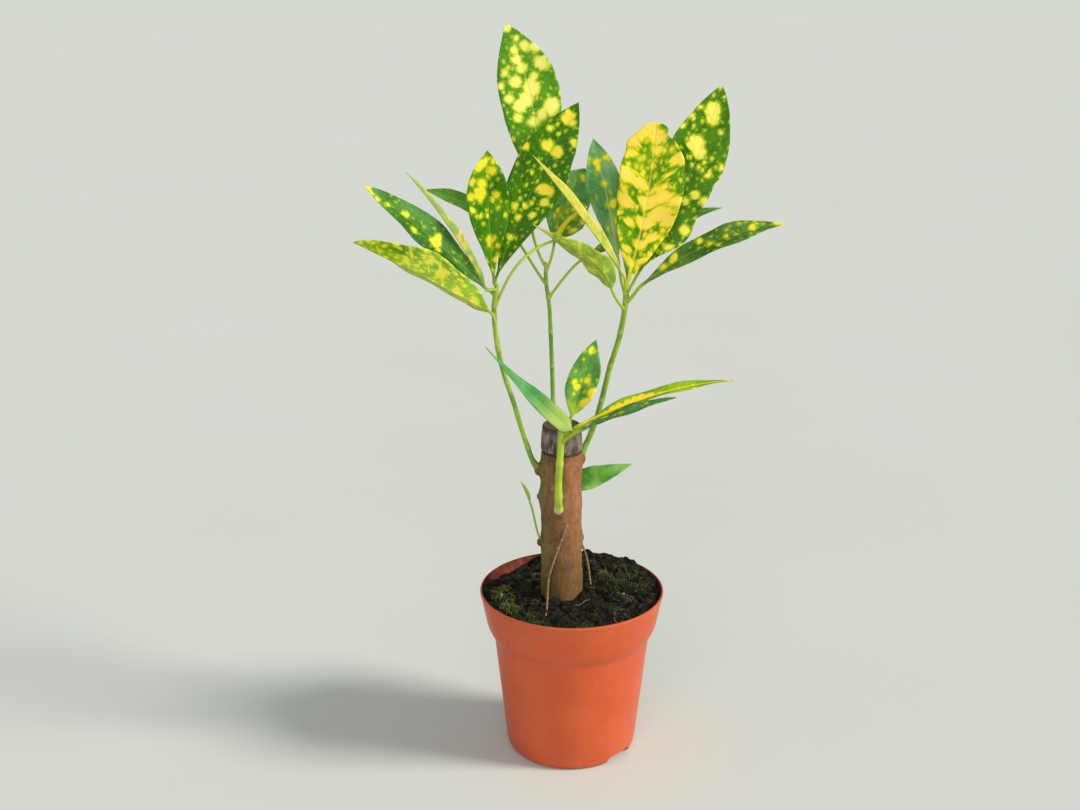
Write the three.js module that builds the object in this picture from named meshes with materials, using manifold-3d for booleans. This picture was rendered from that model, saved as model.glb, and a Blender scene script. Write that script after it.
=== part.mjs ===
// A young croton in a plastic nursery pot. Millimetres, +Z up.
// The origin is the centre of the pot's underside, and the side seen in the photo faces -Y.
import * as THREE from 'three';
import { mergeVertices } from 'three/addons/utils/BufferGeometryUtils.js';
import Module from 'manifold-3d';

const wasm = await Module();
wasm.setup();

// ---- Driving dimensions ----

const FIT = 0.3; // gap left between neighbouring pieces
const LAP = 1; // how far a cutting block runs past the face that it cuts

const POT_HEIGHT = 112;
const POT_SIDES = 48;
const RIM_RADIUS = 60;
const RIM_ROUNDING = 0.6;
const COLLAR_FOOT_Z = 80; // where the straight wall ends and the collar flares out
const COLLAR_FOOT_RADIUS = 50.8;
const COLLAR_CURVE = [[0, 0], [1.4, 1.5], [4.2, 8]]; // steps out and up from the collar's foot
const BASE_RADIUS = 42;
const BASE_ROUNDING = 4.5;
const BASE_BEVEL = 0.3; // share of the base's rounding that its first facet takes
const POT_WALL = 1.3;

const NOTCH_COUNT = 2; // drainage notches, opposite each other
const NOTCH_FIRST_ANGLE = 40; // degrees to the front of +X
const NOTCH_WIDTH = 23;
const NOTCH_HEIGHT = 6;
const NOTCH_ROUNDING = 4.5;
const NOTCH_INNER_RADIUS = 31;
const DRAIN_RADIUS = 3.5;
const DRAIN_REACH = 36.5; // how far each drain hole lies from the pot's axis
const DRAIN_SIDES = 12;

const SOIL_LEVEL = 105;
const SOIL_TILT = 3.5; // how much higher the soil lies at the back right than at the front left
const SOIL_SIDES = 28;
const SOIL_RINGS = 7;

const TRUNK_AXIS = new THREE.Vector2(-7, 1);
const TRUNK_FOOT_Z = 62; // the trunk's lower end, inside the soil
const TRUNK_TOP_Z = 226;
const TRUNK_FOOT_RADIUS = 15.2;
const TRUNK_TOP_RADIUS = 13.2;
const TRUNK_ROUNDING = 2; // worn edge of the sawn top
const TRUNK_SIDES = 16;
const TRUNK_STEPS = 14;
const ROOT_RADIUS = 1.1;
const ROOT_SIDES = 5;
const ROOT_STEPS = 10;
const BUD_RADIUS = 2.2;
const COLLAR_SWELL = 2.6; // how much thicker the bark's collar is than the shoot that it holds
const COLLAR_STRETCH = 1.25; // how much taller than wide the collars and buds are

const SHOOT_SIDES = 8;
const SHOOT_STEPS = 18;
const SHOOT_CLOSE = 0.96; // place along a shoot where its tip starts to close
const SHOOT_TIP = 0.44; // share of its radius left at the very tip
const SEAT_DEPTH = 3; // how far a shoot or a petiole sits in its collar
const SEAT_HOLE = 12; // length of the hole that clears it there
const SEAT_GAP = 0.6; // how much wider the hole is
const SEAT_STEP = 2;

const PETIOLE_RADIUS = 1.1;
const PETIOLE_STEPS = 5;
const PETIOLE_BUNCHING = 1.4; // above 1, the petiole's rings lie closer together near the shoot
const PETIOLE_HANDLE = 0.4; // share of the petiole's span over which it bends at each end
const PETIOLE_LEAVE = 5; // at most so far at the shoot
const PETIOLE_ARRIVE = 8; // and at most so far at the blade
const BLADE_EDGE = 0.35; // half the thickness of a blade at its edge
const BLADE_STEPS = 11;
const BLADE_FULLNESS = 0.9; // below 1, the blade's outline is fuller than a sine wave
const BLADE_OPENING = 0.15; // place along the midrib where the halves have fully opened
const RIB_TAPER = 0.6; // share of its width that the midrib has lost at the tip
const EDGE_WAVES = 15; // how fast the wavy edge turns, in radians from base to tip
const EDGE_SHIFT = 1.3; // how far each edge's wave runs ahead of or behind the midrib's
const ACROSS = [-1, -0.5, 0, 0.5, 1]; // from the left edge over the midrib to the right edge

const colours = {
  pot: 0xcf5a30,
  soil: 0x1c1a15,
  bark: 0x7b5a41,
  stem: 0x7ea832,
  leaf: 0x3d8f2a,
  paleLeaf: 0xb9c63c,
};

// Waves that add up to uneven surfaces: how fast each turns in two directions, its start and its
// height. The soil's run along x and y, the trunk's round it and from its foot to its top.
const soilWaves = [[0.31, 0.27, 0.8, 0.45], [0.31, -0.27, 1.6, 0.45], [0.53, -0.44, 2, 0.54],
  [0.17, 0.61, 1.57, 0.45]];
const trunkWaves = [[0, 21, 0, 0.02], [0, 9, 1, 0.02], [3, 5, 0, 0.025], [5, -11, 0, 0.015]];

// ---- Placement of the grown pieces, chosen by eye against the photo ----

// Roots that hang down the trunk's surface into the soil.
const aerialRoots = [
  [[-4, -12, 160], [-10, -13.4, 143], [-15, -13, 125], [-16, -16, 104], [-16, -17, 92]],
  [[4, 8, 146], [9, 9.5, 133], [12, 11, 115], [13, 12, 100], [13, 13, 92]],
];

// Small sleeping buds on the bark.
const buds = [[6, 1, 148], [-21, 2, 176], [-14, -12, 186]];

// Each shoot's middle line from its seat on the trunk to its tip, with its radius at both ends.
const shoots = {
  left: {
    line: [[-19, -1, 194], [-25, -3, 202], [-30, -3, 216], [-38, -4, 244], [-44, -5, 264],
      [-47, -6, 279], [-49, -6, 296], [-49, -6, 307], [-47, -6, 320]],
    radii: [1.8, 1.8],
  },
  centre: {
    line: [[-9, 12, 192], [-10, 20, 203], [-12, 25, 227], [-13, 27, 254], [-14, 28, 280],
      [-15, 28, 297], [-17, 28, 313], [-17, 28, 325]],
    radii: [1.8, 1.4],
  },
  right: {
    line: [[3, 1, 201], [8, 1, 211], [12.5, 1, 222], [17.5, 1, 239], [23, 2, 263], [29, 2, 284],
      [32, 2, 302], [33, 2, 315]],
    radii: [2, 2],
  },
  front: {
    line: [[-9, -9, 168], [-9, -17, 173], [-9, -19, 196], [-8, -21, 215], [-7, -21, 232]],
    radii: [2.9, 2.4],
  },
};

// Each leaf grows from a shoot `below` so many millimetres under its tip, or from a bud on the
// trunk. `base` and `tip` end the blade, `bend` moves the middle of its midrib off the straight
// line, `up` is the way its upper side looks, and `widest` is the place of its full width from
// base (0) to tip (1). `fold` closes the halves and `twist` turns the blade about its midrib, in
// degrees, and `wave` is the height of its wavy edge. A long petiole is drawn towards `via`, and
// a `pale` leaf shows more yellow than green.
const leaves = {
  left_leaf_1: {
    shoot: 'left', below: 40, base: [-52, -11, 304], tip: [-132, -32, 353], bend: [-2, -4, 3],
    width: 36, widest: 0.42, up: [0.1, 0.75, 0.65], fold: 32, twist: -20, wave: 1,
  },
  left_leaf_2: {
    shoot: 'left', below: 7, base: [-56, -3, 318], tip: [-128, 6, 379], bend: [1, 0, 2],
    width: 24, widest: 0.5, up: [0.3, -0.5, 0.8], fold: 12, twist: 0, wave: 1,
  },
  left_leaf_3: {
    shoot: 'left', below: 4, base: [-54, -10, 318], tip: [-101, -16, 392], bend: [1, 0, 0],
    width: 15, widest: 0.5, up: [0.8, 0.5, 0.4], fold: 75, twist: 0, wave: 0.5, pale: true,
  },
  left_leaf_4: {
    shoot: 'left', below: 5, base: [-46, 6, 322], tip: [3, 34, 425], bend: [-1, 0, 0],
    width: 35, widest: 0.62, up: [0, -1, 0.2], fold: 12, twist: 0, wave: 1.5,
  },
  left_leaf_5: {
    shoot: 'left', below: 1, base: [-49, -5, 321], tip: [-53, 14, 399], bend: [-1, 0, 0],
    width: 27, widest: 0.63, up: [0, -1, 0.2], fold: 12, twist: 0, wave: 1.5,
  },
  left_leaf_6: {
    shoot: 'left', below: 14, via: [-40, 0, 338], base: [-11, 25, 340], tip: [7, 13, 372],
    bend: [-4, 1, 5], width: 21, widest: 0.5, up: [0.3, 0.9, 0.3], fold: 10, twist: 0, wave: 1,
  },
  centre_leaf_1: {
    shoot: 'centre', below: 2, base: [-26, 32, 353], tip: [-42, 50, 471], bend: [10, 0, 0],
    width: 37, widest: 0.62, up: [0, -1, 0.2], fold: 10, twist: 0, wave: 1.5,
  },
  centre_leaf_2: {
    shoot: 'centre', below: 13, base: [-40, 32, 344], tip: [-94, 44, 368], bend: [0, 0, 4],
    width: 14, widest: 0.5, up: [0.2, -0.5, 0.8], fold: 10, twist: 0, wave: 0.5,
  },
  centre_leaf_3: {
    shoot: 'centre', below: 5, base: [-12, 35, 334], tip: [8, 52, 380], bend: [-3, 2, 0],
    width: 30, widest: 0.6, up: [0, -1, 0.3], fold: 8, twist: 0, wave: 1,
  },
  centre_leaf_4: {
    shoot: 'centre', below: 23, base: [6, 34, 325], tip: [96, 58, 353], bend: [0, 0, 4],
    width: 24, widest: 0.5, up: [0, -0.2, 1], fold: 10, twist: 0, wave: 1,
  },
  right_leaf_1: {
    shoot: 'right', below: 4, base: [30, -4, 326], tip: [-25, -30, 405], bend: [0, 0, 1],
    width: 17, widest: 0.45, up: [0.7, 0.6, 0.4], fold: 72, twist: 0, wave: 0.5, pale: true,
  },
  right_leaf_2: {
    shoot: 'right', below: 3, base: [28, 8, 330], tip: [12, 26, 404], bend: [1, 0, 0],
    width: 23, widest: 0.6, up: [0, -1, 0.2], fold: 14, twist: 0, wave: 1,
  },
  right_leaf_3: {
    shoot: 'right', below: 0, base: [33, 1, 321], tip: [50, 16, 416], bend: [3, 0, 0],
    width: 43, widest: 0.6, up: [0, -1, 0.2], fold: 10, twist: 0, wave: 2, pale: true,
  },
  right_leaf_4: {
    shoot: 'right', below: 2, base: [41, 9, 324], tip: [92, 42, 434], bend: [3, 0, -3],
    width: 36, widest: 0.55, up: [0, -1, 0.3], fold: 10, twist: 0, wave: 1.5,
  },
  right_leaf_5: {
    shoot: 'right', below: 8, base: [43, -2, 319], tip: [129, -6, 358], bend: [0, 0, 7.5],
    width: 18, widest: 0.55, up: [0, -0.5, 0.8], fold: 14, twist: 0, wave: 1,
  },
  right_leaf_6: {
    shoot: 'right', below: 13, base: [23, -7, 318], tip: [-11, -22, 350], bend: [5, 0, 3],
    width: 24, widest: 0.4, up: [-0.2, 0.7, 0.7], fold: 14, twist: 0, wave: 1.5,
  },
  front_leaf_1: {
    shoot: 'front', below: 2, base: [-2, -28, 233], tip: [-54, -24, 285], bend: [-1, -3, 0],
    width: 13, widest: 0.3, up: [0.3, -0.6, 0.7], fold: 12, twist: 30, wave: 0.5,
  },
  front_leaf_2: {
    shoot: 'front', below: 1.5, base: [-1, -19, 239], tip: [14, -8, 285], bend: [0, 0, 0],
    width: 21, widest: 0.5, up: [0, -1, 0.2], fold: 20, twist: 0, wave: 1,
  },
  front_leaf_3: {
    shoot: 'front', below: 5, base: [5, -23, 234], tip: [99, -16, 261], bend: [0, 0, 7],
    width: 17, widest: 0.45, up: [0, 0.1, 1], fold: 15, twist: 0, wave: 1,
  },
  front_leaf_4: {
    shoot: 'front', below: 9, base: [5, -31, 232], tip: [62, -40, 256], bend: [0, 0, 1.5],
    width: 13, widest: 0.5, up: [0, -0.1, 1], fold: 10, twist: 0, wave: 0.5,
  },
  trunk_leaf_1: {
    bud: [-4, 15, 167], base: [-2, 23, 175], tip: [39, 14, 192], bend: [0, 0, -1],
    width: 15, widest: 0.45, up: [0, -0.7, 0.7], fold: 10, twist: 0, wave: 0.5,
  },
  trunk_leaf_2: {
    bud: [-21, 0, 145], base: [-27, -3, 173], tip: [-33, -5, 189], bend: [0, 0, 0],
    width: 5, widest: 0.5, up: [0.9, 0.3, 0.3], fold: 50, twist: 0, wave: 0,
  },
};

// ---- Helpers ----

const vector = (point) => new THREE.Vector3(...point);
const radians = THREE.MathUtils.degToRad;
const curveThrough = (points) => new THREE.CatmullRomCurve3(points.map(vector), false, 'centripetal');

// The sum of a table of waves at one place.
function unevenness(waves, first, second) {
  return waves.reduce((sum, [turnFirst, turnSecond, start, height]) => {
    return sum + height * Math.sin(turnFirst * first + turnSecond * second + start);
  }, 0);
}

// Skins a run of rings with equal numbers of points, and closes both ends with a fan. The second
// half of each ring is split the other way, so that the two faces of a blade are alike.
function loft(rings) {
  const count = rings[0].length;
  const points = rings.flat();
  const faces = [];
  for (let ring = 0; ring + 1 < rings.length; ring++) {
    for (let side = 0; side < count; side++) {
      const a = ring * count + side;
      const b = ring * count + ((side + 1) % count);
      if (side < count / 2) faces.push(a, b + count, a + count, a, b, b + count);
      else faces.push(a, b, a + count, b, b + count, a + count);
    }
  }
  const ends = [[rings[0], 0], [rings.at(-1), (rings.length - 1) * count]];
  ends.forEach(([ring, first], end) => {
    const centre = points.length;
    points.push(ring.reduce((sum, point) => sum.add(point), new THREE.Vector3()).divideScalar(count));
    for (let side = 0; side < count; side++) {
      const pair = [first + side, first + ((side + 1) % count)];
      if (end === 0) pair.reverse();
      faces.push(centre, ...pair);
    }
  });
  const geometry = new THREE.BufferGeometry().setFromPoints(points);
  return geometry.setIndex(faces);
}

// Two directions across a line: `up` made square to the line, and the side to its right.
function crossAxes(along, up) {
  const normal = up.clone().addScaledVector(along, -up.dot(along)).normalize();
  return { normal, side: along.clone().cross(normal) };
}

function ringAround(centre, side, normal, radius, sides) {
  return Array.from({ length: sides }, (_, index) => {
    const angle = (-2 * Math.PI * index) / sides;
    return centre.clone()
      .addScaledVector(side, radius * Math.cos(angle))
      .addScaledVector(normal, radius * Math.sin(angle));
  });
}

// A rod along a curve. `radiusAt` gives its radius from start (0) to end (1), and `rodUp` is a
// direction that none of the curves takes.
const rodUp = new THREE.Vector3(0.31, 0.9, 0.3);
function rod(curve, radiusAt, steps, sides) {
  const rings = [];
  for (let step = 0; step <= steps; step++) {
    const place = step / steps;
    const { normal, side } = crossAxes(curve.getTangentAt(place), rodUp);
    rings.push(ringAround(curve.getPointAt(place), side, normal, radiusAt(place), sides));
  }
  return loft(rings);
}

// A turned shape about +Z from its profile of [radius, height] points.
function turned(profile, segments) {
  const points = profile.map(([radius, height]) => new THREE.Vector2(radius, height));
  return new THREE.LatheGeometry(points, segments).rotateX(Math.PI / 2);
}

function toSolid(geometry) {
  const bare = geometry.clone();
  bare.deleteAttribute('normal');
  bare.deleteAttribute('uv');
  const merged = mergeVertices(bare, 1e-4);
  return new wasm.Manifold(new wasm.Mesh({
    numProp: 3,
    vertProperties: new Float32Array(merged.attributes.position.array),
    triVerts: new Uint32Array(merged.index.array),
  }));
}

function toGeometry(solid) {
  const mesh = solid.getMesh();
  const geometry = new THREE.BufferGeometry();
  geometry.setAttribute('position', new THREE.BufferAttribute(mesh.vertProperties, 3));
  return geometry.setIndex(new THREE.BufferAttribute(mesh.triVerts, 1));
}

// ---- Pot ----

const wallRadius = (height) => {
  return BASE_RADIUS + ((COLLAR_FOOT_RADIUS - BASE_RADIUS) * height) / COLLAR_FOOT_Z;
};

// The outside of the pot, drawn in by `inset` all over and closed at the height `top`.
function potShape(inset, top) {
  const bevel = BASE_ROUNDING * BASE_BEVEL;
  const collarCurve = COLLAR_CURVE.map(([out, up]) => {
    return [COLLAR_FOOT_RADIUS + out - inset, COLLAR_FOOT_Z + up];
  });
  return turned([
    [0, inset],
    [BASE_RADIUS - BASE_ROUNDING - inset, inset],
    [BASE_RADIUS - bevel - inset, inset + bevel],
    [wallRadius(BASE_ROUNDING) - inset, inset + BASE_ROUNDING],
    ...collarCurve,
    [RIM_RADIUS - inset, POT_HEIGHT - 2 * RIM_ROUNDING],
    [RIM_RADIUS - inset, top - RIM_ROUNDING],
    [RIM_RADIUS - RIM_ROUNDING - inset, top],
    [0, top],
  ], POT_SIDES);
}

// Turns a block or hole that lies to the front, towards -Y, to each of the notches.
function atEachNotch(geometry) {
  const solids = [];
  for (let index = 0; index < NOTCH_COUNT; index++) {
    const angle = 90 - NOTCH_FIRST_ANGLE + (index * 360) / NOTCH_COUNT;
    solids.push(toSolid(geometry.clone().rotateZ(radians(angle))));
  }
  return wasm.Manifold.union(solids);
}

// An arched block pointing outwards at each notch. `grown` makes it larger all round.
function notchBlocks(grown) {
  const half = NOTCH_WIDTH / 2 + grown;
  const shoulder = NOTCH_HEIGHT + grown - NOTCH_ROUNDING;
  const arch = new THREE.Shape();
  arch.moveTo(-half, -LAP);
  arch.lineTo(half, -LAP);
  arch.lineTo(half, shoulder);
  arch.absarc(half - NOTCH_ROUNDING, shoulder, NOTCH_ROUNDING, 0, Math.PI / 2);
  arch.absarc(NOTCH_ROUNDING - half, shoulder, NOTCH_ROUNDING, Math.PI / 2, Math.PI);
  arch.closePath();
  const start = NOTCH_INNER_RADIUS - grown;
  const size = { depth: RIM_RADIUS - start, bevelEnabled: false, curveSegments: 4 };
  const block = new THREE.ExtrudeGeometry(arch, size);
  return atEachNotch(block.rotateX(Math.PI / 2).translate(0, -start, 0));
}

function drainHoles() {
  const hole = new THREE.CylinderGeometry(DRAIN_RADIUS, DRAIN_RADIUS, NOTCH_HEIGHT, DRAIN_SIDES);
  return atEachNotch(hole.rotateX(Math.PI / 2).translate(0, -DRAIN_REACH, NOTCH_HEIGHT));
}

function makePot() {
  const inside = toSolid(potShape(POT_WALL, POT_HEIGHT + LAP)).subtract(notchBlocks(POT_WALL));
  const outside = toSolid(potShape(0, POT_HEIGHT)).subtract(notchBlocks(0));
  return toGeometry(outside.subtract(inside).subtract(drainHoles()));
}

// ---- Soil ----

function soilHeight(x, y) {
  const slope = (SOIL_TILT * (x + y)) / (2 * RIM_RADIUS);
  return SOIL_LEVEL + slope + unevenness(soilWaves, x, y);
}

// A block wider than the pot, with the soil's lumpy top.
function lumpyBlock() {
  const level = (radius, height) => Array.from({ length: SOIL_SIDES }, (_, index) => {
    const angle = (2 * Math.PI * index) / SOIL_SIDES;
    const x = radius * Math.cos(angle);
    const y = radius * Math.sin(angle);
    return new THREE.Vector3(x, y, height ?? soilHeight(x, y));
  });
  const rings = [level(RIM_RADIUS, -LAP)];
  for (let ring = 0; ring < SOIL_RINGS; ring++) {
    rings.push(level(RIM_RADIUS * (1 - ring / SOIL_RINGS)));
  }
  return toSolid(loft(rings));
}

function makeSoil(trunkHole) {
  const gap = POT_WALL + FIT;
  const filling = toSolid(potShape(gap, POT_HEIGHT)).intersect(lumpyBlock());
  return toGeometry(filling.subtract(notchBlocks(gap)).subtract(trunkHole));
}

// ---- Trunk ----

// One ring of bark, drawn in by `inset`.
function trunkRing(z, inset) {
  const place = (z - TRUNK_FOOT_Z) / (TRUNK_TOP_Z - TRUNK_FOOT_Z);
  const radius = THREE.MathUtils.lerp(TRUNK_FOOT_RADIUS, TRUNK_TOP_RADIUS, place);
  return Array.from({ length: TRUNK_SIDES }, (_, index) => {
    const angle = (2 * Math.PI * index) / TRUNK_SIDES;
    const reach = radius * (1 + unevenness(trunkWaves, angle, place)) - inset;
    const x = TRUNK_AXIS.x + reach * Math.cos(angle);
    const y = TRUNK_AXIS.y + reach * Math.sin(angle);
    return new THREE.Vector3(x, y, z);
  });
}

// The trunk itself: slightly wavering, thicker at the foot, with a worn sawn top.
function trunkBody(grown) {
  const rings = [];
  for (let step = 0; step <= TRUNK_STEPS; step++) {
    const place = step / TRUNK_STEPS;
    const z = THREE.MathUtils.lerp(TRUNK_FOOT_Z - grown, TRUNK_TOP_Z - TRUNK_ROUNDING, place);
    rings.push(trunkRing(z, -grown));
  }
  rings.push(trunkRing(TRUNK_TOP_Z, TRUNK_ROUNDING - grown));
  return toSolid(loft(rings));
}

// Swollen bark: a bud, or the collar round a seat.
function swelling(centre, radius) {
  const bump = new THREE.SphereGeometry(radius, 10, 6);
  return toSolid(bump.scale(1, 1, COLLAR_STRETCH).translate(...centre));
}

// The trunk with its roots, as one solid. `grown` makes it larger all round.
function trunkAndRoots(grown) {
  const roots = aerialRoots.map((line) => {
    return toSolid(rod(curveThrough(line), () => ROOT_RADIUS + grown, ROOT_STEPS, ROOT_SIDES));
  });
  return wasm.Manifold.union([trunkBody(grown), ...roots]);
}

function makeTrunk(seats) {
  const collars = seats.map((seat) => swelling(seat.centre, seat.radius + COLLAR_SWELL));
  const sleeping = buds.map((bud) => swelling(bud, BUD_RADIUS));
  const whole = wasm.Manifold.union([trunkAndRoots(0), ...collars, ...sleeping]);
  return toGeometry(whole.subtract(wasm.Manifold.union(seats.map((seat) => seat.hole))));
}

// ---- Shoots ----

function shootRadius(shoot, place) {
  const closing = Math.max(0, (place - SHOOT_CLOSE) / (1 - SHOOT_CLOSE));
  const taper = THREE.MathUtils.lerp(1, SHOOT_TIP, closing);
  return THREE.MathUtils.lerp(shoot.radii[0], shoot.radii[1], place) * taper;
}

function makeShoot(shoot) {
  const radiusAt = (place) => shootRadius(shoot, place);
  return rod(curveThrough(shoot.line), radiusAt, SHOOT_STEPS, SHOOT_SIDES);
}

// The hole that a rod of this radius needs along its first stretch, and the place of its collar.
function seatOf(curve, radius) {
  const start = curve.getPointAt(0);
  const along = curve.getTangentAt(0);
  const length = curve.getLength();
  const stretch = [start.clone().addScaledVector(along, -LAP)];
  for (let reach = SEAT_STEP; reach <= SEAT_HOLE; reach += SEAT_STEP) {
    stretch.push(curve.getPointAt(Math.min(1, reach / length)));
  }
  const line = new THREE.CatmullRomCurve3(stretch);
  return {
    centre: start.clone().addScaledVector(along, SEAT_DEPTH).toArray(),
    radius,
    hole: toSolid(rod(line, () => radius + SEAT_GAP, 2 * stretch.length, SHOOT_SIDES)),
  };
}

// ---- Leaves ----

// Half the blade's width, as a share of its greatest, from base (0) to tip (1).
function outline(place, widest) {
  const swing = Math.PI * place ** (Math.log(0.5) / Math.log(widest));
  return Math.sin(swing) ** BLADE_FULLNESS;
}

// The midrib: a curve from the blade's base to its tip through the bent middle.
function midribOf(leaf) {
  const base = vector(leaf.base);
  const tip = vector(leaf.tip);
  const handle = base.clone().add(tip).multiplyScalar(0.5).addScaledVector(vector(leaf.bend), 2);
  return new THREE.QuadraticBezierCurve3(base, handle, tip);
}

// Where a petiole starts, and the way it leaves: out of the trunk at its bud, or squarely from
// the side of its shoot that faces the blade.
function petioleRoot(leaf, target) {
  if (leaf.bud) {
    const bud = vector(leaf.bud);
    const leave = bud.clone().sub(new THREE.Vector3(TRUNK_AXIS.x, TRUNK_AXIS.y, bud.z)).normalize();
    return { start: bud.addScaledVector(leave, -SEAT_DEPTH), leave };
  }
  const shoot = shoots[leaf.shoot];
  const line = curveThrough(shoot.line);
  const length = line.getLength();
  const place = 1 - leaf.below / length;
  const middle = line.getPointAt(place);
  const leave = crossAxes(line.getTangentAt(place), target.clone().sub(middle)).normal;
  const thickest = shootRadius(shoot, place - PETIOLE_RADIUS / length);
  return { start: middle.addScaledVector(leave, thickest + FIT), leave };
}

// The petiole runs from there smoothly into the midrib.
function petioleOf(leaf, midrib) {
  const end = midrib.getPoint(0);
  const { start, leave } = petioleRoot(leaf, end);
  const reach = start.distanceTo(end) * PETIOLE_HANDLE;
  const first = start.clone().addScaledVector(leave, Math.min(reach, PETIOLE_LEAVE));
  const back = -Math.min(reach, PETIOLE_ARRIVE);
  const second = leaf.via ? vector(leaf.via) : end.clone().addScaledVector(midrib.getTangent(0), back);
  return new THREE.CubicBezierCurve3(start, first, second, end);
}

// One ring of the blade's skin: over the top from left to right, and back underneath.
function bladeRing(leaf, centre, along, place) {
  const turn = radians(leaf.twist) * (place - 0.5);
  const up = crossAxes(along, vector(leaf.up)).normal.applyAxisAngle(along, turn);
  const { normal, side } = crossAxes(along, up);
  const spread = place > 0 ? outline(place, leaf.widest) : 0;
  const half = Math.max((leaf.width / 2) * spread, PETIOLE_RADIUS * (1 - RIB_TAPER * place));
  const open = THREE.MathUtils.smoothstep(place, 0, BLADE_OPENING);
  const fold = radians(leaf.fold) * open;
  const rib = THREE.MathUtils.lerp(PETIOLE_RADIUS, BLADE_EDGE, place);
  const above = [];
  const below = [];
  for (const across of ACROSS) {
    const reach = Math.abs(across);
    const ripple = Math.sin(EDGE_WAVES * place + EDGE_SHIFT * Math.sign(across) + leaf.width);
    const lift = half * reach * Math.sin(fold) + leaf.wave * open * spread * reach ** 2 * ripple;
    const point = centre.clone()
      .addScaledVector(side, half * across * Math.cos(fold))
      .addScaledVector(normal, lift);
    const face = normal.clone().multiplyScalar(Math.cos(fold));
    face.addScaledVector(side, -Math.sign(across) * Math.sin(fold));
    const nearRib = Math.max(0, 1 - (across * half / PETIOLE_RADIUS) ** 2);
    const round = BLADE_EDGE + (PETIOLE_RADIUS - BLADE_EDGE) * nearRib;
    const top = THREE.MathUtils.lerp(round, BLADE_EDGE, open);
    const bottom = BLADE_EDGE + (rib - BLADE_EDGE) * nearRib;
    above.push(point.clone().addScaledVector(face, top));
    below.unshift(point.clone().addScaledVector(face, -bottom));
  }
  return [...above, ...below];
}

function makeLeaf(leaf) {
  const midrib = midribOf(leaf);
  const petiole = petioleOf(leaf, midrib);
  const rings = [];
  for (let step = 0; step < PETIOLE_STEPS; step++) {
    const place = (step / PETIOLE_STEPS) ** PETIOLE_BUNCHING;
    rings.push(bladeRing(leaf, petiole.getPoint(place), petiole.getTangent(place), 0));
  }
  for (let step = 0; step <= BLADE_STEPS; step++) {
    const place = step / BLADE_STEPS;
    rings.push(bladeRing(leaf, midrib.getPoint(place), midrib.getTangent(place), place));
  }
  return loft(rings);
}

// ---- Assembly ----

const croton = new THREE.Group();

function add(name, geometry, colour, roughness) {
  const material = new THREE.MeshStandardMaterial({ color: colour, roughness, metalness: 0 });
  const mesh = new THREE.Mesh(geometry, material);
  mesh.name = name;
  croton.add(mesh);
}

const seats = Object.values(shoots).map((shoot) => seatOf(curveThrough(shoot.line), shoot.radii[0]));
for (const leaf of Object.values(leaves)) {
  if (leaf.bud) seats.push(seatOf(petioleOf(leaf, midribOf(leaf)), PETIOLE_RADIUS));
}

add('pot', makePot(), colours.pot, 0.5);
add('soil', makeSoil(trunkAndRoots(FIT)), colours.soil, 0.95);
add('trunk', makeTrunk(seats), colours.bark, 0.85);
for (const [name, shoot] of Object.entries(shoots)) {
  add(`${name}_stem`, makeShoot(shoot), colours.stem, 0.5);
}
for (const [name, leaf] of Object.entries(leaves)) {
  add(name, makeLeaf(leaf), leaf.pale ? colours.paleLeaf : colours.leaf, 0.4);
}

export default croton;
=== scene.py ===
"""A young croton in a plastic nursery pot: fine meshes and procedural materials round the frame.

Lengths are in millimetres up to make_object(), which turns them into metres.
"""
import math
import random

import bmesh
import bpy
import numpy as np
from mathutils import Matrix, Vector, noise


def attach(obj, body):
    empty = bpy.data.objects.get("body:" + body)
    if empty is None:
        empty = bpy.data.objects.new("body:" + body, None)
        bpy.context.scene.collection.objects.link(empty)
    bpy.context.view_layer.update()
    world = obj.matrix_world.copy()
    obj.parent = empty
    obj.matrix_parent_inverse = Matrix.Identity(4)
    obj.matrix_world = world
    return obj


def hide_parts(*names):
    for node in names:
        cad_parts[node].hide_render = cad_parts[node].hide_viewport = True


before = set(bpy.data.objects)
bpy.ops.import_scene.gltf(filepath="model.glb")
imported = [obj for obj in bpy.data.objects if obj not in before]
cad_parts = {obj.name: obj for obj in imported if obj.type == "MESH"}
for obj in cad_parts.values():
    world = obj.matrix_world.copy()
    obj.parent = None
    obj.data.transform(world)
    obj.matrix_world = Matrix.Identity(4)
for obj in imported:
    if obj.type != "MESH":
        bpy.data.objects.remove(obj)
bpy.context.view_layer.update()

MM = 0.001

# ---- Sizes ----

# They are those of the frame's solids, but the trunk's top is slimmer, and the front shoot, the
# first aerial root and some leaves take slightly different lines.

POT_HEIGHT = 112
RIM_RADIUS = 60
RIM_ROUNDING = 0.6
COLLAR_FOOT_Z = 80
COLLAR_FOOT_RADIUS = 50.8
BASE_RADIUS = 42
BASE_ROUNDING = 4.5
POT_WALL = 1.3
NOTCH_COUNT = 2
NOTCH_FIRST_ANGLE = -40
NOTCH_WIDTH = 23
NOTCH_HEIGHT = 6
NOTCH_ROUNDING = 4.5
NOTCH_INNER_RADIUS = 31
DRAIN_RADIUS = 3.5
DRAIN_REACH = 36.5

SOIL_LEVEL = 105
SOIL_TILT = 3.5
SOIL_FOOT_Z = 7.8  # just above the roofs of the drainage notches

TRUNK_AXIS = np.array([-7.0, 1.0])
TRUNK_FOOT_Z = 62
TRUNK_TOP_Z = 226
TRUNK_FOOT_RADIUS = 15.2
TRUNK_TOP_RADIUS = 12.6
WAX_FOOT_Z = 208.5
COLLAR_SWELL = 2.6
COLLAR_STRETCH = 1.25
BUD_RADIUS = 2.2
SEAT_DEPTH = 3

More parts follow.
